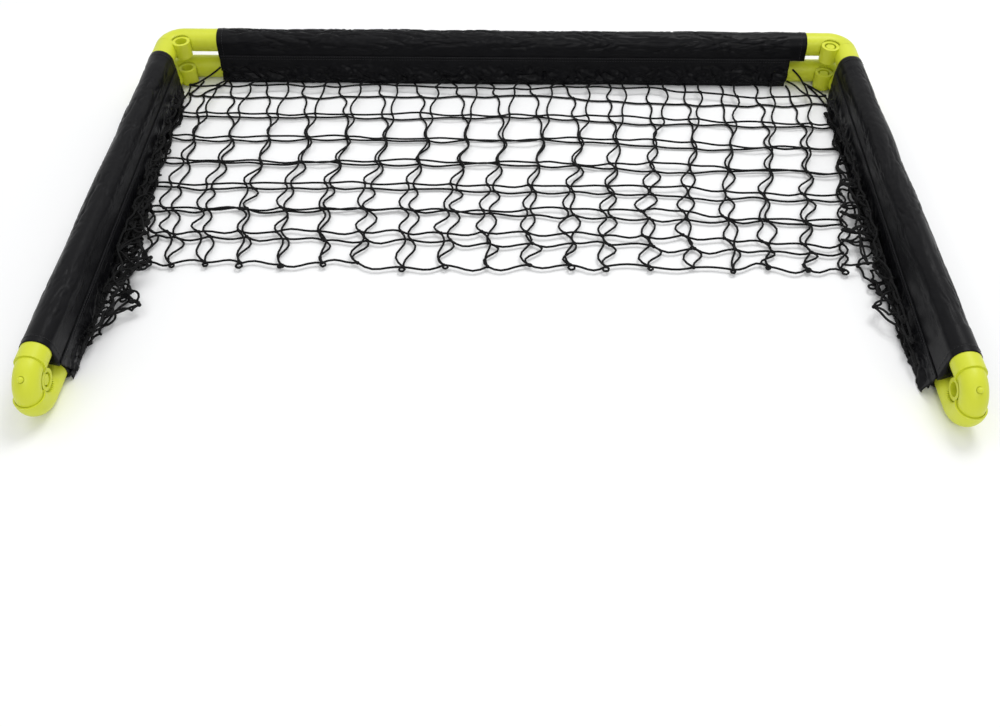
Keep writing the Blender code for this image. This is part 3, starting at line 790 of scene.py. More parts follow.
    def _inner(self) -> Mesh:
        """The inner half.

        Returns:
            Its mesh.
        """
        section, rim = self._round(self.outer), self._round(self.outer - self.rim)
        ends = ((section, 0.0), (section, self.socket - self.rim), (rim, self.socket))
        socket = loft("socket", [self._slide(shape, x, -1) for shape, x in ends])
        wall = self.recess + self.recess_wall + self.clearance
        tip = 180.0 - self.overlap_deg
        bend = self._bent(self._cut_round(self.inner_bend, wall), tip, self.inner_end_deg)
        hollow_section = self._cut_round(self.inner_cavity, wall + self.recess_wall)
        hollow = self._bent(hollow_section, tip - self.end_wall_deg, self.hollow_end_deg)
        bore = ring_polygon(self.barrel_bore, self.bore_sides)
        over = self.barrel_half + self.near
        web_cut = self.web_half + self.past
        button_cut = (self.inner_cavity - self.button_hole_depth, self.inner_bend + self.past)
        barrel = ring_polygon(self.barrel, self.barrel_sides)
        web_hole = ring_polygon(self.web_hole, self.hole_sides)
        button_hole = ring_polygon(self.button_hole, self.hole_sides)
        steps = [
            ("UNION", loft("bend", bend)),
            ("UNION", self._prism("barrel", barrel, -self.barrel_half, self.barrel_half)),
            ("DIFFERENCE", loft("hollow", hollow)),
            ("DIFFERENCE", self._prism("upper_bore", bore, self.web_half, over)),
            ("DIFFERENCE", self._prism("lower_bore", bore, -over, -self.web_half)),
            ("DIFFERENCE", self._prism("web_hole", web_hole, -web_cut, web_cut)),
            ("DIFFERENCE", self._tube_bore(-1)),
            ("DIFFERENCE", self._window_slot()),
            ("DIFFERENCE", self._prism("button_hole", button_hole, *button_cut, self.button_place())),
        ]
        return carve("inner", socket, steps)

    @staticmethod
    def _turned(name: str, profile: Sequence[Pair], sides: int) -> Mesh:
        """A solid turned about Z."""
        rings = [[Vector((x, y, up)) for x, y in ring_polygon(reach, sides)] for reach, up in profile]
        return loft(name, rings)

    def _pin(self) -> Mesh:
        """The stepped pivot pin.

        Returns:
            Its mesh.
        """
        low = -self.barrel_half + self.disc_depth
        web = self.web_half + self.gap
        profile = [
            (self.disc - self.disc_edge, low),
            (self.disc, low + self.disc_edge),
            (self.disc, -web),
            (self.shank, -web),
            (self.shank, web),
            (self.rivet, web),
            (self.rivet - self.rivet_edge, web + self.rivet_height),
        ]
        return self._turned("pin", profile, self.pin_sides)

    def _button(self) -> Mesh:
        """The domed button with its flange.

        Returns:
            Its mesh.
        """
        foot = self.flange_top - self.flange_thick
        dome = self.inner_bend + self.button_proud - self.button
        profile = [(self.flange, foot), (self.flange, self.flange_top), (self.button, self.flange_top)]
        profile += arc((0.0, dome), self.button, 0.0, 15.0, 6)
        return self._turned("button", profile, self.button_sides)

    def build(self, finish: Material) -> None:
        """Makes the four meshes that all six elbows share.

        Args:
            finish: Their material.
        """
        self.meshes["elbow_shell"] = self._shell()
        self.meshes["elbow_inner"] = self._inner()
        self.meshes["pivot_pin"] = self._pin()
        self.meshes["lock_button"] = self._button()
        for mesh in self.meshes.values():
            mesh.materials.clear()
            mesh.materials.append(finish)

    def _squeeze_spring(self, prefix: str, body: str) -> None:
        """Puts a copy of a leg end's spring on the leg's body, with a mesh of its own, in place of the
        imported one.

        Args:
            prefix: Name of the elbow.
            body: Name of the leg's body.
        """
        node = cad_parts[f"{prefix}_button_spring"]
        coil = add_object(f"{prefix}_button_spring_coil", node.data.copy(), node.data.materials[0])
        hand_over(coil, body, node.name)
        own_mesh(coil)

    def fit(self, prefix: str, place: Matrix, folded: bool, bodies: Tuple[str, str]) -> None:
        """Puts one elbow in place.

        Args:
            prefix: Name of the elbow.
            place: Frame of its pivot.
            folded: True at the leg ends, where the elbow makes its full U.
            bodies: The shell's body and the leg's body.
        """
        leg = place @ (Matrix.Identity(4) if folded else Matrix.Rotation(math.radians(-90.0), 4, "Z"))
        sunk = 0.0 if folded else self.button_travel
        pushed = leg @ self.button_place() @ Matrix.Translation((0.0, 0.0, -sunk))
        # Each piece with its place, its body and the width of its rounded edges
        plan = (
            ("elbow_shell", place, bodies[0], 0.45 * MM),
            ("elbow_inner", leg, bodies[1], 0.35 * MM),
            ("pivot_pin", leg, bodies[1], 0.3 * MM),
            ("lock_button", pushed, f"{prefix}_button", 0.15 * MM),
        )
        for part, where, body, width in plan:
            node = f"{prefix}_{part}"
            piece = add_object(f"{node}_moulded", self.meshes[part], self.meshes[part].materials[0], where)
            soften_edges(piece, width)
            hand_over(piece, body, node)
        if folded:
            self._squeeze_spring(prefix, bodies[1])
        LOG.info("elbow %s", prefix)


# Sleeves

@dataclass
class Sleeve:
    """A cloth sleeve drawn down from its tube to a stitched seam, with a gathered flap below the seam.

    A section is given as (inward, up) from the tube's axis, and pairs of sections are for the first and the
    last end. The sleeve has the name of the body that it moves with.
    """

    name: str
    start: Vector
    end: Vector
    inward: Vector
    level: Level
    seam: Tuple[Pair, Pair]
    foot: Tuple[Pair, Pair]
    flap: Pair
    over_socket: Pair
    seed: int
    slant: float = 0.0
    slant_run: float = 70.0 * MM
    fold_pitch: float = 11.0 * MM
    swell_pitch: float = 31.0 * MM
    wave_pitch: float = 26.0 * MM
    wave: float = 1.1 * MM
    full_drop: float = 48.0 * MM
    hang_power: float = 1.8
    crumple: float = 1.0
    dent_pitches: Tuple[float, ...] = (62.0 * MM, 55.0 * MM, 34.0 * MM, 24.0 * MM, 13.0 * MM, 60.0 * MM)
    ripple: float = 1.25 * MM
    columns: int = 84
    station: float = 2.4 * MM
    flap_station: float = 1.9 * MM
    cloth_width: float = 108.0 * MM
    girth_radius: float = 16.0 * MM
    tight_upper: float = 15.2 * MM
    tight_lower: float = 14.3 * MM
    clear_socket: float = 15.2 * MM
    socket_margin: float = 2.0 * MM
    over_tube: float = 12.75 * MM
    over_elbow: float = 14.62 * MM
    plain_end: float = 13.2 * MM
    lip: float = 0.25 * MM
    lip_out: float = 0.3 * MM
    lip_in: float = 0.5 * MM
    narrowing: Pair = (1.0 * MM, 7.0 * MM)
    floor_gap: float = 0.3 * MM
    hem: float = 9.0 * MM
    hem_thick: float = 0.15 * MM
    hem_step: float = 0.3 * MM
    run_in: float = 14.0 * MM
    end_calm: float = 0.25
    seam_calm: float = 0.15
    calm_angle: float = 0.7
    end_dent: float = 0.2
    lap: float = 3.4 * MM
    flap_half: float = 0.4 * MM
    flap_hem_half: float = 0.3 * MM
    flap_hem_from: float = 0.88
    flap_floor_gap: float = 0.9 * MM
    stand_off: float = 0.6 * MM
    flap_hem: float = 2.0 * MM
    stitch_rows: Pair = (1.3 * MM, 4.6 * MM)
    stitch_pitch: float = 3.4 * MM
    stitch_length: float = 2.3 * MM
    stitch_radius: float = 0.30 * MM
    stitch_margin: float = 2.0 * MM
    stitch_clear: float = 0.6 * MM
    stitch_share: float = 0.68
    seam_stitch_lift: float = 0.4
    hem_stitch_lift: float = 0.3
    lowest_row: float = 0.8
    hem_stitch_inset: float = 2.2 * MM

    @property
    def length(self) -> float:
        """Length of the sleeve."""
        return (self.end - self.start).length

    @property
    def flap_length(self) -> float:
        """Length of the flap."""
        return self.flap[1] - self.flap[0]

    @property
    def tight(self) -> float:
        """Radius of the cloth where it lies smooth."""
        return self.tight_upper if self.level is Level.UPPER else self.tight_lower

    def _world(self, inward: float, up: float, along: float) -> Vector:
        """A place on the sleeve in the row frame."""
        direction = (self.end - self.start).normalized()
        return self.start + self.inward * inward + UP * up + direction * along

    def _between(self, ends: Tuple[Pair, Pair], along: float) -> Pair:
        """A section point at a distance along the sleeve."""
        share = along / self.length
        return mix(ends[0][0], ends[1][0], share), mix(ends[0][1], ends[1][1], share)

    def _dent(self, angle: float, along: float) -> float:
        """Depth of the soft folds and sharp creases in the round cloth.

        Args:
            angle: Angle round the tube.
            along: Distance along the sleeve.

        Returns:
            The depth in mm.
        """
        seed = 3.7 * self.seed
        x, y = math.cos(angle), math.sin(angle)
        swell, drift, long_crease, short_crease, fine, patch = (along / pitch for pitch in self.dent_pitches)
        slow = 0.7 * wobble(swell, 0.9 * x, seed + 0.7 * y)
        warp = 0.7 * wobble(drift, 1.1 * y, seed + 9.0 + 0.5 * x)
        # Two families of creases wind round the tube in opposite ways
        slant = long_crease + 0.8 * angle
        first = noise.noise(Vector((slant + warp, 1.2 * x + warp, seed + 1.2 * y)))
        second = noise.noise(Vector((short_crease - 0.9 * angle + warp, 1.5 * y, seed + 20.0 + 1.5 * x)))
        creases = crease(first, 1.9, 0.085) + crease(second, 1.3, 0.075)
        # Small puckers lie everywhere, and the creases only in patches
        third = noise.noise(Vector((fine + 1.4 * warp, 2.4 * x, seed + 40.0 + 2.4 * y)))
        small = 0.75 * (1.0 - min(abs(third) / 0.22, 1.0))
        gate = smoothstep(0.7 + 1.5 * noise.noise(Vector((patch, 0.8 * x, seed + 31.0 + y))))
        return slow + self.crumple * (small + gate * creases)

    def _radius(self, angle: float, along: float) -> float:
        """Distance from the tube's axis to the cloth's outer face.

        Args:
            angle: Angle round the tube.
            along: Distance along the sleeve.

        Returns:
            The distance.
        """
        inward, down = self._between(self.seam, along)
        reach = math.hypot(inward, down)
        corner = math.atan2(down, inward)
        spread = math.acos(min(self.tight / reach, 1.0))
        from_corner = (angle - corner + math.pi) % (2.0 * math.pi) - math.pi
        radius = self.tight
        if abs(from_corner) < spread:
            radius = self.tight / math.cos(spread - abs(from_corner))
        near_end = min(along, self.length - along)
        socket = self.over_socket[0] if along < 0.5 * self.length else self.over_socket[1]
        if near_end < socket + self.socket_margin:
            radius = max(radius, self.clear_socket)
        free = smoothstep((near_end - max(socket, self.hem)) / self.run_in)
        calm = smoothstep(abs(from_corner) / self.calm_angle)
        depth = self._dent(angle, along) * mix(self.end_calm, 1.0, free) * mix(self.seam_calm, 1.0, calm)
        if free < 0.5:
            depth = min(depth, self.end_dent)
        return radius - depth * MM + (self.hem_thick if near_end < self.hem else 0.0)

    def _ring(self, radii: Iterable[float], along: float, floor: float) -> List[Vector]:
        """A ring of cloth round the tube.

        Args:
            radii: Its radius at each of the columns.
            along: Distance along the sleeve.
            floor: Least height over the tube's axis.

        Returns:
            The ring's points.
        """
        ring = []
        for k, radius in enumerate(radii):
            inward, up = polar(radius, 2.0 * math.pi * k / self.columns)
            ring.append(self._world(inward, max(up, floor), along))
        return ring

    def _cloth_mesh(self) -> Mesh:
        """The round cloth as a closed skin with turned-in ends and a UV map in metres.

        Returns:
            Its mesh.
        """
        stations = max(int(self.length / self.station), 12)
        marks = [self.length * k / stations for k in range(stations + 1)]
        marks += [self.hem - self.hem_step, self.hem + self.hem_step]
        marks += [self.length - self.hem - self.hem_step, self.length - self.hem + self.hem_step]
        angles = [2.0 * math.pi * k / self.columns for k in range(self.columns)]
        floor = -self.start.z + self.floor_gap
        rings = []
        for along in sorted(marks):
            rings.append(self._ring([self._radius(angle, along) for angle in angles], along, floor))
        wide = self.over_elbow if max(self.over_socket) > 0.0 else self.plain_end
        lip = wide + self.lip
        first, last = self.over_socket[0], self.length - self.over_socket[1]
        near, far = self.narrowing
        # Radius and distance along of the even rings that turn in at the far end and come back inside
        back = (
            (lip, self.length + self.lip_out), (wide, self.length - self.lip_in),
            (wide, last - near), (self.over_tube, last - far),
            (self.over_tube, first + far), (wide, first + near),
            (wide, self.lip_in), (lip, -self.lip_out),
        )
        rings += [self._ring([radius] * self.columns, along, floor + self.lip) for radius, along in back]
        made = loft(f"{self.name}_cloth", rings, closed=True)
        self._lay_out(made)
        return made

    def _lay_out(self, mesh: Mesh) -> None:
        """Writes the UV map that the weave reads, in metres along and around, and shades the cloth smooth.

        Args:
            mesh: The cloth.
        """
        layer = mesh.uv_layers.new(name="cloth")
        direction = (self.end - self.start).normalized()
        for face in mesh.polygons:
            turns = []
            for corner in face.loop_indices:
                offset = mesh.vertices[mesh.loops[corner].vertex_index].co - self.start
                around = math.atan2(offset.dot(UP), offset.dot(self.inward)) * self.girth_radius
                turns.append((corner, offset.dot(direction), around))
            high = max(turn[2] for turn in turns)
            for corner, along, around in turns:
                if high - around > math.pi * self.girth_radius:
                    around += 2.0 * math.pi * self.girth_radius
                layer.data[corner].uv = (along, around)
        mesh.shade_smooth()

    def _flap_place(self, along: float, share: float, out: float) -> Vector:
        """A place on the flap.

        Args:
            along: Distance along the sleeve.
            share: 0 at the upper edge, just above the seam, and 1 at the lower edge.
            out: Distance out from the flap's middle face.

        Returns:
            The place in the row frame.
        """
        seed = 5.1 * self.seed
        inward, up = self._between(self.seam, along)
        low_inward, low_up = self._between(self.foot, along)
        floor = -self.start.z + self.flap_floor_gap
        low_up = max(low_up + self.wave * wobble(along / self.wave_pitch, 0.5, seed), floor)
        at_seam = self.lap / (self.lap + up - low_up)
        # Above the seam the flap lies against the cloth, and below it hangs free
        if share < at_seam:
            rise = self.lap * (1.0 - share / at_seam)
            tangent = math.atan2(up, inward) + math.acos(min(self.tight / math.hypot(inward, up), 1.0))
            inward, up = inward - rise * math.sin(tangent), up + rise * math.cos(tangent)
            drop = 0.0
        else:
            drop = (share - at_seam) / (1.0 - at_seam)
            inward, up = mix(inward, low_inward, drop ** self.hang_power), mix(up, low_up, drop)
            along -= self.slant * drop * smoothstep((along - self.length + self.slant_run) / self.slant_run)
        # Gathers deepen from the seam down
        x, y = along / self.fold_pitch, 3.2 * drop * low_up / -self.full_drop
        bend = 0.7 * wobble(0.45 * x, 0.6 * y, seed + 1.0)
        fold = pleat(noise.noise(Vector((x + bend, y + 0.6 * bend, seed + 3.0))), 2.6)
        tuck = pleat(noise.noise(Vector((2.3 * x - bend, 1.9 * y, seed + 8.0))), 2.4)
        swell = wobble(along / self.swell_pitch, 0.9 * drop + 3.0, seed + 6.0)
        depth = self.ripple * (0.06 + 0.94 * smoothstep(1.5 * drop))
        inward += depth * (1.3 * fold + 0.6 * tuck + 0.6 * swell - 0.8) + self.stand_off
        return self._world(inward + out, up, along)

    def _flap_mesh(self) -> Mesh:
        """The gathered flap as a closed sheet with a thicker lower hem and a thin edge.

        Returns:
            Its mesh.
        """
        stations = int(self.flap_length / self.flap_station)
        steps = 22 if self.level is Level.UPPER else 8
        shares = [step / steps for step in range(steps + 1)]
        hem = [self.flap_hem_half if share > self.flap_hem_from else 0.0 for share in shares]
        halves = [self.flap_half + more for more in hem]
        halves[-1] *= 0.5
        rings = []
        for k in range(stations + 1):
            along = mix(self.flap[0], self.flap[1], k / stations)
            front = [self._flap_place(along, share, half) for share, half in zip(shares, halves)]
            back = [self._flap_place(along, share, -half) for share, half in zip(shares, halves)]
            rings.append(front + list(reversed(back)))
        made = loft(f"{self.name}_flap", rings)
        self._lay_out(made)
        return made

    def _stitch(self, work: bmesh.types.BMesh, first: Vector, last: Vector) -> None:
        """Adds one stitch: a short six-sided bead with drawn-in ends.

        Args:
            work: The mesh under construction.
            first: One end of the stitch.
            last: Its other end.
        """
        line = last - first
        turn = line.to_track_quat("Z", "Y").to_matrix().to_4x4()
        place = Matrix.Translation(0.5 * (first + last)) @ turn
        rings = []
        for share, radius in ((-0.5, 0.35), (-0.32, 1.0), (0.32, 1.0), (0.5, 0.35)):
            corners = ring_polygon(self.stitch_radius * radius, 6)
            rings.append([place @ Vector((x, y, share * line.length)) for x, y in corners])
        skin(work, rings)

    def _stitches_mesh(self) -> Mesh:
        """Two rows of stitches along the seam and one row round each end hem.

        Returns:
            Their mesh.
        """
        work = bmesh.new()
        out = self.flap_half + self.seam_stitch_lift * self.stitch_radius
        for k in range(int((self.flap_length - 2.0 * self.stitch_margin) / self.stitch_pitch)):
            along = self.flap[0] + self.stitch_margin + k * self.stitch_pitch
            span = self.lap + self._between(self.seam, along)[1] - self._between(self.foot, along)[1]
            for row in self.stitch_rows:
                if row <= self.lowest_row * span:
                    marks = (along, along + self.stitch_length)
                    self._stitch(work, *(self._flap_place(mark, row / span, out) for mark in marks))
        around = int(2.0 * math.pi * self.girth_radius / self.stitch_pitch)
        for along in (self.hem - self.hem_stitch_inset, self.length - self.hem + self.hem_stitch_inset):
            for k in range(around):
                ends = []
                for angle in (2.0 * math.pi * k / around, 2.0 * math.pi * (k + self.stitch_share) / around):
                    radius = self._radius(angle, along) + self.hem_stitch_lift * self.stitch_radius
                    ends.append(self._world(*polar(radius, angle), along))
                if min(end.z for end in ends) > self.stitch_clear:
                    self._stitch(work, *ends)
        made = finished(f"{self.name}_stitches", work)
        made.shade_smooth()
        return made

    def build(self, cloth: Material, thread: Material) -> None:
        """Makes the sleeve, its flap and its stitches.

        Args:
            cloth: Material of the sleeve and the flap.
            thread: Material of the stitches.
        """
        round_cloth = add_object(f"{self.name}_cloth", self._cloth_mesh(), cloth)
        flap = add_object(f"{self.name}_flap", self._flap_mesh(), cloth)
        stitches = add_object(f"{self.name}_stitches", self._stitches_mesh(), thread)
        hand_over(round_cloth, self.name, f"{self.name}_sleeve")
        hand_over(flap, self.name)
        hand_over(stitches, self.name)
        self.length
        LOG.info("sleeve %s, %.0f mm long", self.name, self.length / MM)


# Nets

def twine_tree(name: str, radius: float, knot: float, finish: Material) -> NodeTree:
    """Geometry nodes that turn a net's skeleton of edges into round twine with a knot at each marked point.

    Args:
        name: Name of the tree.
        radius: Radius of the twine.
        knot: Radius of a knot.
        finish: Material of the twine.

    Returns:
        The node tree for a modifier.
    """
    group = bpy.data.node_groups.new(name, "GeometryNodeTree")
    for way in ("INPUT", "OUTPUT"):
        group.interface.new_socket(name="Geometry", in_out=way, socket_type="NodeSocketGeometry")
    tree = Tree(group)
    given = tree.node("NodeGroupInput").outputs["Geometry"]
    line = tree.node("GeometryNodeMeshToCurve", {"Mesh": given}).outputs["Curve"]
    profile = tree.node("GeometryNodeCurvePrimitiveCircle", {"Resolution": 7, "Radius": radius}).outputs[0]
    cord = tree.node("GeometryNodeCurveToMesh", {"Curve": line, "Profile Curve": profile, "Fill Caps": True})
    marked = tree.node("GeometryNodeInputNamedAttribute", {"Name": "knot"}, data_type="BOOLEAN")
    ball = tree.node("GeometryNodeMeshIcoSphere", {"Radius": knot, "Subdivisions": 2}).outputs["Mesh"]
    chosen = {"Points": given, "Selection": marked.outputs["Attribute"], "Instance": ball}
    copies = tree.node("GeometryNodeInstanceOnPoints", chosen).outputs["Instances"]
    balls = tree.node("GeometryNodeRealizeInstances", {"Geometry": copies})
    joined = tree.node("GeometryNodeJoinGeometry")
    for part in (balls.outputs["Geometry"], cord.outputs["Mesh"]):
        group.links.new(part, joined.inputs[0])
    smooth = tree.node("GeometryNodeSetShadeSmooth", {"Geometry": joined.outputs[0]}).outputs["Geometry"]
    dressed = tree.node("GeometryNodeSetMaterial", {"Geometry": smooth, "Material": finish})
    tree.node("NodeGroupOutput", {"Geometry": dressed.outputs["Geometry"]})
    return group


@dataclass(kw_only=True)
class Net:
    """A net's skeleton: points, the edges between them, and which points are knots.

    A net lies between a lower and an upper body. Its points' heights run from low to high.
    """

    seed: int
    low: float
    high: float
    points: List[Vector] = field(default_factory=list)
    edges: List[Tuple[int, int]] = field(default_factory=list)
    knots: List[bool] = field(default_factory=list)
    grid: Dict[Tuple[int, int], int] = field(default_factory=dict)
    draw: random.Random = field(init=False)

    def __post_init__(self) -> None:
        """Starts the source of the net's small irregularities."""
        self.draw = random.Random(self.seed)

    def stray(self, low: float, high: float) -> float:
        """A chance length between two lengths in mm."""
        return self.draw.uniform(low, high) * MM

    def point(self, place: Vector, knot: bool = False) -> int:
        """Adds a point.

        Args:
            place: Where it lies.
            knot: True if it is a knot.

        Returns:
            Its number.
        """
        self.points.append(place)
        self.knots.append(knot)
        return len(self.points) - 1

    def run(self, first: int, places: Iterable[Vector], last: int) -> None:
        """Joins two points by edges.

        Args:
            first: Number of the first point.
            places: Where the new points between them lie.
            last: Number of the last point.
        """
        before = first
        for place in places:
            here = self.point(place)
            self.edges.append((before, here))
            before = here
        self.edges.append((before, last))

    def strand(self, first: int, last: int, bow: Vector, sway: Vector, steps: int = 6) -> None:
        """Joins two points by a slack strand.

        Args:
            first: Number of the first point.
            last: Number of the last point.
            bow: Offset of the strand's middle.
            sway: Offset of an S shape on top of the bow.
            steps: Number of edges.
        """
        a, b = self.points[first], self.points[last]
        places = []
        for share in (k / steps for k in range(1, steps)):
            swing = bow * math.sin(math.pi * share) + sway * math.sin(2.0 * math.pi * share)
            places.append(a.lerp(b, share) + swing)
        self.run(first, places, last)

    def curl(self, first: int, last: int, reach: Pair, turns: float, phase: float, steps: int = 14) -> None:
        """Joins two points by a strand that curls round on its way.

        Args:
            first: Number of the first point.
            last: Number of the last point.
            reach: Reach of the curl across and along.
            turns: How many turns it makes.
            phase: Heading at which it starts.
            steps: Number of edges.
        """
        a, b = self.points[first], self.points[last]
        places = []
        for share in (k / steps for k in range(1, steps)):
            turn = phase + 2.0 * math.pi * turns * share
            fade = math.sin(math.pi * share) ** 0.7
            swing = Vector((reach[0] * math.cos(turn), reach[1] * math.sin(turn), 0.0)) * fade
            places.append(a.lerp(b, share) + swing)
        self.run(first, places, last)

    def loop(self, knot: int, radius: float, heading: float, steps: int = 10) -> None:
        """Adds a small slack loop that starts and ends at a knot.

        Args:
            knot: Number of the knot.
            radius: Radius of the loop.
            heading: Direction of its middle from the knot.
            steps: Number of edges.
        """
        centre = self.points[knot] + toward(heading) * radius
        places = []
        for k in range(1, steps):
            turn = heading + math.pi + 2.0 * math.pi * k / steps
            places.append(centre + toward(turn) * radius * (0.75 if k % 2 else 0.85))
        self.run(knot, places, knot)

    def hang(self, node: str, tree: NodeTree, lower: str, upper: str) -> None:
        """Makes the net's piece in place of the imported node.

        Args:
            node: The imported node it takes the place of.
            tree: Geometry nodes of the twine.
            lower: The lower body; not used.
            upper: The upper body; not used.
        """
        mesh = bpy.data.meshes.new(f"{node}_twine")
        mesh.from_pydata([tuple(place) for place in self.points], self.edges, [])
        mesh.attributes.new("knot", "BOOLEAN", "POINT").data.foreach_set("value", self.knots)
        piece = put(f"{node}_twine", mesh)
        piece.modifiers.new("twine", "NODES").node_group = tree
        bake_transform(piece)
        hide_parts(node)
        LOG.info("%s, %d knots", node.replace("_", " "), sum(self.knots))


# Where the rear net's columns lie in the photo, left to right in mm, on four lines across at these Y in mm
NET_COLUMNS = {
    225: (-409, -384, -343, -295, -247, -199, -149, -98, -48, 1,
          49, 98, 145, 196, 243, 290, 337, 383, 412),
    132: (-412, -381, -335, -287, -239, -192, -144, -94, -45, 1,
          47, 94, 139, 186, 231, 277, 324, 368, 407),
    30: (-412, -386, -346, -299, -253, -207, -159, -110, -60, -18,
         32, 76, 120, 164, 209, 255, 298, 347, 387),
    -78: (-380, -356, -320, -282, -240, -196, -153, -107, -62, -17,
          29, 73, 113, 162, 206, 249, 287, 327, 365),
}


@dataclass(kw_only=True)
class RearNet(Net):
    """The rear net, folded double: from the rear bar's flap to the fold and back to the crossbar's flap.

    Toward the right its rows lie further forward. A sag is how far, from which X and over what width, in mm.
    Reach and swing are how far the long strands bend out, in mm, away from the fold and at it.
    """

    seed: int = 11
    low: float = 1.5 * MM
    high: float = 9.6 * MM
    lower_rows: Tuple[float, ...] = (267.0, 236.0, 190.0, 143.0, 98.0, 49.0, 9.0, -38.0)
    upper_rows: Tuple[float, ...] = (-26.0, 12.0, 55.0, 97.0, 142.0, 189.0, 247.0, 266.0)
    fold_y: float = -78.0 * MM
    fold_share: float = 0.42
    top_lead: float = 0.6
    layer_shift: Tuple[float, ...] = (21.0, 10.0, 5.0, 0.0, -2.0, -4.0, -4.0, -5.0)
    shift_centre: float = 130.0 * MM
    upper_sag: Tuple[float, ...] = (14.0, 180.0, 150.0)
    lower_sag: Tuple[float, ...] = (12.0, 20.0, 250.0)
    flap_left: float = -367.0 * MM
    flap_right: float = 368.0 * MM
    cell: float = 40.0 * MM
    fold_rows_across: float = 3.5
    fold_rows_down: float = 7.0
    slack_chance: float = 0.3
    reach: Pair = (3.0, 6.4)
    swing: Pair = (1.9, 4.6)
    loop_chance: float = 0.75
    second_loop_chance: float = 0.3

    @property
    def columns(self) -> int:
        """Number of cells across."""
        return len(NET_COLUMNS[225]) - 1

    @property
    def rows(self) -> List[float]:
        """How far back each row lies, from the rear bar's flap to the crossbar's."""
        return [y * MM for y in self.lower_rows] + [self.fold_y] + [y * MM for y in self.upper_rows]

    @property
    def fold(self) -> int:
        """Number of the row at the fold."""
        return len(self.lower_rows)

    @property
    def last(self) -> int:
        """Number of the last row."""
        return len(self.rows) - 1

    @property
    def upper_span(self) -> float:
        """Rows from the fold to where the net follows the crossbar fully."""
        return self.last - self.fold - self.top_lead

    def share_at(self, row: float) -> float:
        """How far up the doubled sheet a row is.

        Args:
            row: Number of the row.

        Returns:
            0 at the rear bar and 1 at the crossbar.
        """
        if row <= self.fold:
            return self.fold_share * row / self.fold
        return min(mix(self.fold_share, 1.0, (row - self.fold) / self.upper_span), 1.0)

    def y_at(self, row: float) -> float:
        """How far back a row lies."""
        before = min(int(row), len(self.rows) - 2)
        return mix(self.rows[before], self.rows[before + 1], row - before)

    def x_at(self, column: int, y: float) -> float:
        """Where a column lies across the goal.

        Args:
            column: Number of the column.
            y: How far back.

        Returns:
            The X of the column there.
        """
        marks = list(NET_COLUMNS)
        for rear, front in zip(marks, marks[1:]):
            if y >= front * MM:
                break
        share = clamp((rear - y / MM) / (rear - front))
        return mix(NET_COLUMNS[rear][column], NET_COLUMNS[front][column], share) * MM

    def z_at(self, row: float) -> float:
        """Height of a row, which rises with its share of the way up."""
        return mix(self.low, self.high, self.share_at(row))

    def _place(self, row: int, column: int) -> Vector:
        """Where a knot lies.

        Args:
            row: Number of its row.
            column: Number of its column.

        Returns:
            The place in the row frame.
        """
        upper = row > self.fold
        from_flap = self.last - row if upper else row
        way = 1.0 if upper else -1.0
        y = self.rows[row]
        x = self.x_at(column, y)
        if row == self.fold:
            return Vector((x + self.stray(-3.0, 3.0), y + self.stray(-4.0, 3.0), self.z_at(row)))
        if from_flap == 0:
            x += self.layer_shift[0] * MM * (1.0 if x < self.shift_centre else 0.35) * way
            x = min(max(x, self.flap_left), self.flap_right)
            return Vector((x + self.stray(-1.0, 1.0), y, self.z_at(row)))
        sag, start, run = self.upper_sag if upper else self.lower_sag
        y -= sag * MM * smoothstep((x / MM - start) / run)
        if 0 < column < self.columns:
            x += self.layer_shift[from_flap] * MM * way + self.stray(-1.6, 1.6)
            x += 1.6 * MM * wobble(0.37 * column, 0.9 * row, 4.0)
        y += 2.6 * MM * wobble(0.27 * column, 0.57 * row, 8.0) + self.stray(-2.0, 2.0)
        return Vector((x, y, self.z_at(row)))

    def _knots(self) -> None:
        """Places the knots; the first and the last row have none at the two borders."""
        ends = (0, self.last)
        for row in range(self.last + 1):
            for column in range(self.columns + 1):
                if row not in ends or 0 < column < self.columns:
                    self.grid[row, column] = self.point(self._place(row, column), row not in ends)

    def _across(self) -> None:
        """Joins the knots along each row, more slackly near the fold."""
        for row in range(1, self.last):
            near = smoothstep(1.0 - abs(row - self.fold) / self.fold_rows_across)
            for column in range(self.columns):
                slack = self.draw.uniform(-0.8, -4.2) - 4.5 * near * self.draw.random()
                if self.draw.random() < self.slack_chance:
                    slack = self.draw.uniform(0.0, 3.0) + 2.0 * near
                bow = Vector((0.0, slack * MM, 0.0))
                sway = Vector((0.0, self.stray(-1.4, 1.4) * (1.0 + 1.6 * near), 0.0))
                self.strand(self.grid[row, column], self.grid[row, column + 1], bow, sway)

    def _down(self) -> None:
        """Joins the knots along each column by S-shaped strands, which swing more near the fold."""
        for row in range(self.last):
            near = smoothstep(1.0 - abs(row + 0.5 - self.fold) / self.fold_rows_down)
            reach = mix(*self.reach, near) * (1.0 if row < self.fold else -1.0)
            short = min(abs(self.rows[row + 1] - self.rows[row]) / self.cell, 1.0)
            for column in range(self.columns + 1):
                if (row, column) not in self.grid or (row + 1, column) not in self.grid:
                    continue
                swing = mix(*self.swing, near) * MM * short
                bow = Vector((self.draw.uniform(-1.0, 1.3) * swing, self.stray(-1.0, 1.0), 0.0))
                sway = Vector((reach * self.draw.uniform(0.45, 1.3) * short * MM, 0.0, 0.0))
                self.strand(self.grid[row, column], self.grid[row + 1, column], bow, sway, steps=8)

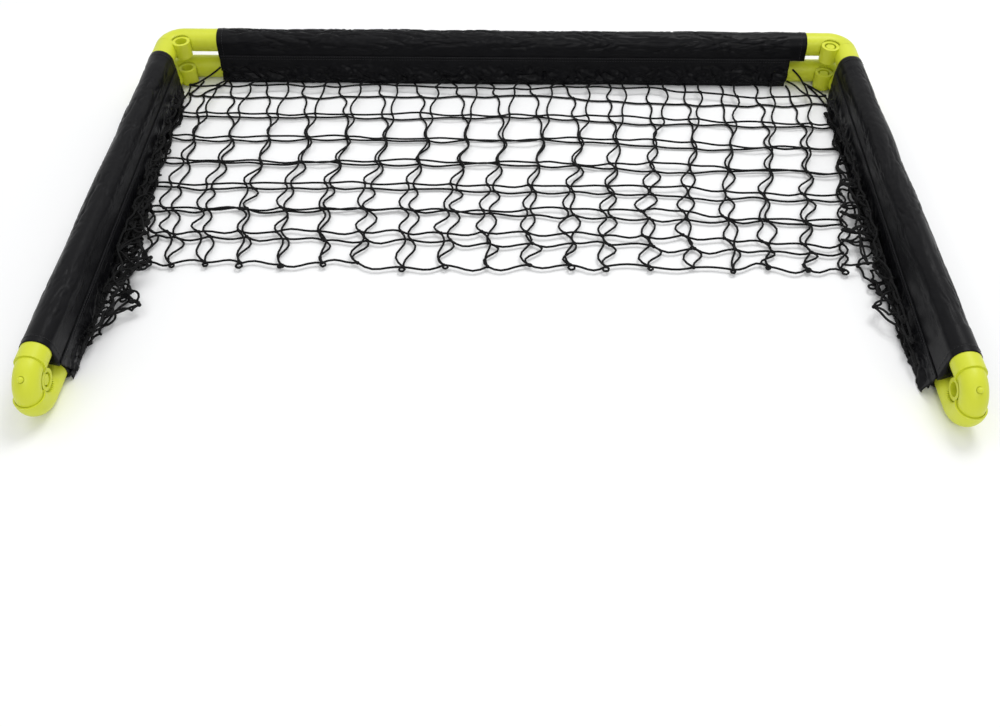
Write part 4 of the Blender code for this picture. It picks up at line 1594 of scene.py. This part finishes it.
    def _corners(self) -> None:
        """Ties the net's outer columns up to the ends of the crossbar's flap and the rear bar's."""
        top = self.last - 1
        ties = (
            ((top, 0), ((-398.0, 254.0, 9.8), (-371.5, 268.5, 23.0))),
            ((top, self.columns - 1), ((389.0, 262.0, 9.8), (374.0, 268.5, 26.0))),
            ((top, self.columns), ((389.5, 261.5, 9.8),)),
            ((1, 0), ((-397.0, 267.0, 1.5),)),
            ((1, self.columns), ((398.0, 266.0, 1.5),)),
        )
        for knot, places in ties:
            before = self.grid[knot]
            for place in places:
                here = self.point(Vector(place) * MM)
                self.strand(before, here, Vector((1.5 * MM, 0.0, 0.0)), STILL)
                before = here

    def _fold_loops(self) -> None:
        """Adds the small loops that hang out at the fold."""
        for column in range(self.columns + 1):
            heading = math.radians(self.draw.uniform(235.0, 320.0))
            if self.draw.random() < self.loop_chance:
                self.loop(self.grid[self.fold, column], self.stray(2.4, 4.4), heading)
            if self.draw.random() < self.second_loop_chance:
                self.loop(self.grid[self.fold, column], self.stray(1.8, 2.6), heading + 0.9)

    def build(self, tree: NodeTree) -> None:
        """Makes the net between the rear bar and the crossbar.

        Args:
            tree: Geometry nodes of the twine.
        """
        self._knots()
        self._across()
        self._down()
        self._corners()
        self._fold_loops()
        self.hang("rear_net", tree, "rear_bar", "crossbar")


@dataclass(kw_only=True)
class SideNet(Net):
    """A side net, gathered at rest along a leg; its grid is square when the goal stands.

    Widths are pairs in mm: a Y along the leg and how wide the gathered net lies there. Gather is the chance
    that a knot lies close to the flap.
    """

    side: Side
    rear: RearNet
    flap_edge: Pair
    widths: Tuple[Pair, ...]
    gather: float
    low: float = 2.4 * MM
    high: float = 27.0 * MM
    cells: int = 17
    pitch: float = 31.0 * MM
    inset: float = 4.0 * MM
    cell: float = 41.0 * MM
    nearest: float = 46.0 * MM
    rim_gap: float = 8.0 * MM
    last_y: float = 240.0 * MM
    last_tie: float = 226.0 * MM
    open_gap: float = 15.0 * MM
    least_spare: float = 6.0 * MM
    most_reach: float = 8.0 * MM
    close: float = 0.06
    loop_chance: float = 0.35

    def _rim(self, share: float) -> float:
        """Distance of the rear net's edge from the base pivot.

        Args:
            share: Share of the quarter turn.

        Returns:
            The distance.
        """
        t = smoothstep_inverse(clamp(share))
        rear = self.rear
        if t <= rear.fold_share:
            row = rear.fold * t / rear.fold_share
        else:
            row = rear.fold + (t - rear.fold_share) / (1.0 - rear.fold_share) * rear.upper_span
        return rear.y_at(row) - BASE_Y

    def _edge(self, y: float) -> float:
        """Distance of the post flap's foot from the middle of the goal."""
        return mix(self.flap_edge[1], self.flap_edge[0], (y - BASE_Y) / (CORNER_Y - BASE_Y))

    def _width(self, y: float) -> float:
        """How wide the gathered net lies.

        Args:
            y: Where along the leg.

        Returns:
            The width.
        """
        for (y0, w0), (y1, w1) in zip(self.widths, self.widths[1:]):
            if y <= y1 * MM:
                return mix(w0, w1, clamp((y - y0 * MM) / ((y1 - y0) * MM))) * MM
        return self.widths[-1][1] * MM

    def _rest(self, distance: float, share: float, spread: float) -> Vector:
        """Where a point of the standing net lies at rest.

        Args:
            distance: Its distance from the base pivot.
            share: Its share of the quarter turn from the ground bar to the post.
            spread: Where it lies across the gathered width, 0 at the flap.

        Returns:
            The place in the row frame.
        """
        y = BASE_Y + distance
        x = self._edge(y) - spread * self._width(y)
        z = mix(self.low, self.high, smoothstep_inverse(share))
        return Vector((self.side.value * x, y, z))

    def _knots(self) -> None:
        """Places the knots of the square grid that lie within the net's three edges."""
        for i in range(self.cells + 1):
            for j in range(self.cells + 1):
                a, b = i * self.pitch + self.inset, j * self.pitch + self.inset
                distance = math.hypot(a, b)
                share = math.atan2(b, a) / (0.5 * math.pi)
                if distance < self.nearest or distance > self._rim(share) - self.rim_gap:
                    continue
                spread = 0.5 + 0.5 * wobble(1.3 * i, 1.7 * j, 3.0 + self.seed) + self.draw.uniform(-0.3, 0.3)
                spread = clamp(spread) * (self.close if self.draw.random() < self.gather else 1.0)
                distance += self.stray(-6.0, 6.0)
                self.grid[i, j] = self.point(self._rest(distance, share, spread), True)

    def _rims(self) -> List[int]:
        """Places the points on the rear net's border and ties the rows on to the flap.

        Returns:
            Numbers of the border's points.
        """
        rims: List[int] = []
        before: Optional[int] = None
        column = 0 if self.side is Side.LEFT else self.rear.columns
        for row in range(1, self.rear.last):
            y = self.rear.y_at(row)
            z = mix(self.low, self.high, self.rear.share_at(row))
            rims.append(self.point(Vector((self.rear.x_at(column, y), y, z))))
            if y < self.last_tie:
                before = self._tie(rims[-1], before)
        return rims

    def _tie(self, rim: int, before: Optional[int]) -> Optional[int]:
        """Carries a row of the rear net on from its border to the flap's foot.

        Args:
            rim: Number of the row's point on the border.
            before: Number of the knot on the row before, if it has one.

        Returns:
            Number of this row's knot, or None where there is no room for one.
        """
        place = self.points[rim]
        y = place.y + self.stray(-8.0, 6.0)
        foot = self.point(Vector((self.side.value * self._edge(y), y, place.z)))
        marks = [rim, foot]
        knot = None
        if self._edge(y) - abs(place.x) > self.open_gap:
            middle = place.lerp(self.points[foot], self.draw.uniform(0.45, 0.7))
            knot = self.point(middle + Vector((0.0, self.stray(-4.0, 4.0), 0.0)), True)
            marks = [rim, knot, foot]
            if before is not None:
                bow = Vector((self.stray(-4.0, 4.0), 0.0, 0.0))
                self.strand(before, knot, bow, Vector((self.stray(-3.0, 3.0), 0.0, 0.0)))
        for first, last in zip(marks, marks[1:]):
            bow = Vector((0.0, self.stray(-4.0, 3.0), 0.0))
            self.strand(first, last, bow, Vector((0.0, self.stray(-1.5, 1.5), 0.0)))
        return knot

    def _strands(self, rims: Sequence[int]) -> None:
        """Joins each knot to its two next neighbours, or to the border where it has none, and adds loops.

        Args:
            rims: Numbers of the border's points.
        """
        for (i, j), here in self.grid.items():
            for step in ((1, 0), (0, 1)):
                there = self.grid.get((i + step[0], j + step[1]))
                if there is None:
                    there = self._nearest(rims, self.points[here])
                if there is not None:
                    self._slack(here, there)
            if self.draw.random() < self.loop_chance:
                self.loop(here, self.stray(2.0, 3.8), self.draw.uniform(0.0, 2.0 * math.pi))

    def _nearest(self, rims: Sequence[int], place: Vector) -> Optional[int]:
        """The rim point nearest a place, if one is within a cell."""
        best = min(rims, key=lambda k: (self.points[k] - place).length)
        return best if (self.points[best] - place).length < self.cell else None

    def _slack(self, here: int, there: int) -> None:
        """Joins two knots by a curling strand that keeps about a cell's length.

        Args:
            here: Number of one knot.
            there: Number of the other.
        """
        a, b = self.points[here], self.points[there]
        spare = max(self.cell - (b - a).length, self.least_spare)
        reach = min(0.30 * spare + 1.0 * MM, self.most_reach)
        middle = 0.5 * (abs(a.x) + abs(b.x))
        room = min(reach, 0.9 * (self._edge(0.5 * (a.y + b.y)) - middle) + 2.0 * MM)
        turns = self.draw.choice((-1.0, 1.0)) * self.draw.uniform(0.4, 1.1)
        self.curl(here, there, (room, reach), turns, self.draw.uniform(0.0, 2.0 * math.pi))

    def build(self, tree: NodeTree) -> None:
        """Makes the net between the ground bar and the post.

        Args:
            tree: Geometry nodes of the twine.
        """
        self._knots()
        self._strands(self._rims())
        for point in self.points:
            point.x = self.side.value * min(abs(point.x), self._edge(point.y))
            point.y = min(point.y, self.last_y)
        word = self.side.word
        self.hang(f"{word}_side_net", tree, f"{word}_ground", f"{word}_post")


# The whole goal and the studio

@dataclass
class Studio:
    """Pale floor, soft lights and the camera at the photograph's viewing angle."""

    camera_place: Tuple[float, float, float] = (0.01105, -0.89497, 0.81218)
    tilt_deg: float = 43.799
    yaw_deg: float = -0.8531
    roll_deg: float = -0.0481
    focal_pixels: float = 1062.7
    axis_row: float = 250.0
    middle_row: float = 363.5
    image_width: float = 1000.0
    sensor: float = 36.0
    floor_half: float = 30.0
    floor_fade: float = 3.2

    def _camera(self) -> None:
        """Makes the camera."""
        data = bpy.data.cameras.new("camera")
        data.sensor_width = self.sensor
        data.lens = self.focal_pixels / self.image_width * self.sensor
        data.shift_y = (self.axis_row - self.middle_row) / self.image_width
        data.clip_start = 0.01
        data.clip_end = 100.0
        made = put("camera", data)
        tilt, yaw, roll = (math.radians(x) for x in (self.tilt_deg, self.yaw_deg, self.roll_deg))
        ahead = Vector((math.sin(yaw) * math.cos(tilt), math.cos(yaw) * math.cos(tilt), -math.sin(tilt)))
        right = Vector((math.cos(yaw), -math.sin(yaw), 0.0))
        above = right.cross(ahead)
        turned_right = math.cos(roll) * right + math.sin(roll) * above
        turned_above = -math.sin(roll) * right + math.cos(roll) * above
        made.matrix_world = place_of(turned_right, turned_above, Vector(self.camera_place))
        bpy.context.scene.camera = made

    @staticmethod
    def _seen(tree: Tree) -> Socket:
        """Tells what is looked at from the light that falls on the goal.

        Args:
            tree: The tree to add the nodes to.

        Returns:
            1 for what the camera, gloss or glass sees, and 0 for the rest.
        """
        path = tree.node("ShaderNodeLightPath").outputs
        seen = tree.math("ADD", path["Is Camera Ray"], path["Is Glossy Ray"])
        return tree.math("MINIMUM", tree.math("ADD", seen, path["Is Transmission Ray"]), 1.0)

    def _floor_finish(self) -> Material:
        """The floor's finish: near white with the object's shadow, and plain white far off.

        Returns:
            The material.
        """
        finish = bpy.data.materials.new("studio_floor")
        finish.use_nodes = True
        tree = Tree(finish.node_tree)
        shader = finish.node_tree.nodes["Principled BSDF"]
        matt = {"Base Color": opaque((0.97, 0.97, 0.97)), "Roughness": 0.9, "Specular IOR Level": 0.1}
        tree.fill(shader, matt)
        place = tree.node("ShaderNodeTexCoord").outputs["Object"]
        scale = {0: place, 1: (1.0 / self.floor_fade,) * 3}
        scaled = tree.node("ShaderNodeVectorMath", scale, operation="MULTIPLY").outputs["Vector"]
        inside = tree.node("ShaderNodeTexGradient", {"Vector": scaled}, gradient_type="SPHERICAL")
        far = tree.math("SUBTRACT", 1.0, tree.ramp(inside.outputs["Fac"], 0.15, 0.65))
        white = tree.node("ShaderNodeEmission", {"Color": opaque((1.0, 1.0, 1.0)), "Strength": 1.0})
        share = tree.math("MULTIPLY", far, self._seen(tree))
        surface = tree.two_shaders(share, shader, white)
        tree.fill(finish.node_tree.nodes["Material Output"], {"Surface": surface})
        return finish

    def _floor(self) -> None:
        """Makes the floor."""
        half = self.floor_half
        mesh = bpy.data.meshes.new("floor")
        corners = [(-half, -half, 0.0), (half, -half, 0.0), (half, half, 0.0), (-half, half, 0.0)]
        mesh.from_pydata(corners, [], [(0, 1, 2, 3)])
        add_object("floor", mesh, self._floor_finish())

    def _world(self) -> None:
        """Lights the scene evenly and shows white to the camera and in reflections."""
        world = bpy.data.worlds.new("studio")
        bpy.context.scene.world = world
        world.use_nodes = True
        world.node_tree.nodes.clear()
        tree = Tree(world.node_tree)
        soft = tree.node("ShaderNodeBackground", {"Color": opaque((0.98, 0.99, 1.0)), "Strength": 0.60})
        white = tree.node("ShaderNodeBackground", {"Color": opaque((1.0, 1.0, 1.0)), "Strength": 1.0})
        tree.node("ShaderNodeOutputWorld", {"Surface": tree.two_shaders(self._seen(tree), soft, white)})

    @staticmethod
    def _light(name: str, place: Tuple[float, float, float], size: float, power: float) -> None:
        """Adds a square soft light aimed at the goal.

        Args:
            name: Name of the light.
            place: Where it hangs.
            size: Length of its side.
            power: Its power in watts.
        """
        data = bpy.data.lights.new(name, "AREA")
        data.size = size
        data.energy = power
        made = put(name, data)
        made.location = place
        made.rotation_euler = (-Vector(place)).to_track_quat("-Z", "Y").to_euler()

    def build(self) -> None:
        """Makes the studio."""
        self._camera()
        self._floor()
        self._world()
        self._light("key", (0.7, 0.9, 2.4), 1.2, 27.0)
        self._light("fill", (-0.9, 0.3, 2.3), 1.6, 8.0)
        self._light("front", (0.2, -1.9, 1.7), 0.6, 10.0)
        bpy.context.scene.view_settings.view_transform = "Standard"


@dataclass
class Goal:
    """The whole goal: elbows, tubes, sleeves and nets."""

    finishes: Dict[str, Material] = field(default_factory=dict)

    def _finishes(self) -> None:
        """Makes the shared node groups and the materials."""
        groups = {"mottle": mottle_group(), "edge_wear": wear_and_corner_shade_group(), "weave": weave_group()}
        for finish in (LIME, TUBE_PAINT, CLOTH, THREAD, TWINE, SPRING_STEEL):
            self.finishes[finish.name] = finish.build(groups)

    def _dress_nodes(self) -> None:
        """Gives the carried-over tubes and springs their finishes."""
        kinds = {"tube": TUBE_PAINT, "spring": SPRING_STEEL}
        for name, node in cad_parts.items():
            finish = kinds.get(name.rsplit("_", 1)[-1], LIME)
            node.data.materials.clear()
            node.data.materials.append(self.finishes[finish.name])
            node.data.shade_smooth()
            node.data.set_sharp_from_angle(angle=math.radians(40.0))

    def _elbows(self) -> None:
        """Builds the hinge once and fits it at the six corners."""
        hinge = ElbowHinge()
        hinge.build(self.finishes[LIME.name])
        for side in Side:
            word = side.word
            for prefix, level, shell_body, leg_body in (
                ("rear", Level.LOWER, "rear_bar", f"{word}_ground"),
                ("top", Level.UPPER, "crossbar", f"{word}_post"),
            ):
                corner = Vector((side.value * CORNER_X, CORNER_Y, level.value))
                place = place_of(side.inward, REARWARD, corner)
                hinge.fit(f"{prefix}_{word}", place, False, (shell_body, leg_body))
            base = place_of(REARWARD, -UP, Vector((side.value * LEG_X, BASE_Y, HINGE_Z)))
            hinge.fit(f"base_{word}", base, True, (f"{word}_ground", f"{word}_post"))

    def _sew(self, name: str, ends: Tuple[Pair, Pair], inward: Vector, level: Level, **sizes: object) -> None:
        """Builds one sleeve.

        Args:
            name: Name of its body.
            ends: X and Y of its two ends.
            inward: Direction toward the inside of the frame.
            level: The frame it is on.
            sizes: Its other sizes, as Sleeve names them.
        """
        start, end = (Vector((x, y, level.value)) for x, y in ends)
        sleeve = Sleeve(name, start, end, inward, level, **sizes)
        sleeve.build(self.finishes[CLOTH.name], self.finishes[THREAD.name])

    def _bar_sleeves(self, plain: Dict[str, object]) -> None:
        """Builds the crossbar's sleeve and the rear bar's.

        Args:
            plain: The sizes that the lower frame's sleeves share.
        """
        left, right = -370.5 * MM, 386.0 * MM
        self._sew("crossbar", ((left, BAR_Y), (right, BAR_Y)), -REARWARD, Level.UPPER, seed=1,
                  seam=both_ends((16.5, -15.8), (16.5, -15.0)), foot=both_ends((18.4, -48.0), (18.4, -45.5)),
                  flap=(0.6 * MM, right - left - 18.5 * MM), over_socket=(1.5 * MM, 17.0 * MM),
                  ripple=2.3 * MM)
        reach = CORNER_X - ELBOW_REACH
        self._sew("rear_bar", ((-reach, BAR_Y), (reach, BAR_Y)), -REARWARD, Level.LOWER, seed=2,
                  flap=(1.0 * MM, 2.0 * reach - 1.0 * MM), over_socket=(0.0, 0.0), **plain)

    def _leg_sleeves(self, plain: Dict[str, object]) -> None:
        """Builds the posts' sleeves and the ground bars'.

        Args:
            plain: The sizes that the lower frame's sleeves share.
        """
        rear, front = CORNER_Y - ELBOW_REACH, BASE_Y + 27.0 * MM
        # Seam and foot of the flap that hangs from each post, and the slant of its end
        left = dict(seam=both_ends((16.4, -13.0), (17.4, -21.0)), slant=18.0 * MM,
                    foot=both_ends((19.3, -53.6), (17.2, -53.6)))
        right = dict(seam=both_ends((16.4, -9.0), (19.0, -29.0)), slant=4.0 * MM,
                     foot=both_ends((19.6, -53.6), (26.5, -53.6)))
        for side, hang in ((Side.LEFT, left), (Side.RIGHT, right)):
            x = side.value * LEG_X
            seed = 4 + side.value
            ends = ((x, 235.0 * MM), (x, -248.5 * MM))
            self._sew(f"{side.word}_post", ends, side.inward, Level.UPPER, seed=seed,
                      flap=(2.0 * MM, 481.5 * MM), over_socket=(16.5 * MM, 28.0 * MM), crumple=0.4, **hang)
            ends = ((x, rear), (x, front))
            self._sew(f"{side.word}_ground", ends, side.inward, Level.LOWER, seed=seed + 5,
                      flap=(1.0 * MM, rear - front - 1.0 * MM), over_socket=(0.0, 18.5 * MM), **plain)

    def _nets(self) -> None:
        """Builds the rear net and the two side nets."""
        tree = twine_tree("twine", 1.25 * MM, 2.2 * MM, self.finishes[TWINE.name])
        rear = RearNet()
        rear.build(tree)
        left = ((-219.0, 3.0), (-212.0, 15.0), (-195.0, 11.0), (-182.0, 11.0), (-168.0, 22.0),
                (-155.0, 36.0), (-140.0, 44.0), (-118.0, 39.0), (-77.0, 31.0), (-26.0, 20.0),
                (30.0, 7.0), (240.0, 5.0))
        right = ((-219.0, 0.5), (-203.0, 3.0), (-191.0, 14.0), (-178.0, 24.0), (-158.0, 32.0),
                 (-130.0, 20.0), (-105.0, 18.0), (-86.0, 30.0), (-66.0, 34.0), (-45.0, 12.0),
                 (-15.0, 7.0), (80.0, 5.0), (240.0, 3.0))
        SideNet(side=Side.LEFT, rear=rear, flap_edge=(413.0 * MM, 411.5 * MM), widths=left, gather=0.45,
                seed=5).build(tree)
        SideNet(side=Side.RIGHT, rear=rear, flap_edge=(412.5 * MM, 406.0 * MM), widths=right, gather=0.78,
                seed=7).build(tree)

    def build(self) -> None:
        """Builds every part in order."""
        self._finishes()
        self._dress_nodes()
        self._elbows()
        plain = dict(ripple=0.4 * MM, seam=both_ends((16.3, -8.0), (16.3, -8.0)),
                     foot=both_ends((16.6, -13.6), (16.6, -13.6)))
        self._bar_sleeves(plain)
        self._leg_sleeves(plain)
        self._nets()


def main() -> None:
    """Builds the studio and the goal."""
    logging.basicConfig(level=logging.INFO, format="%(name)s: %(message)s")
    Studio().build()
    Goal().build()


if __name__ == "__main__":
    main()
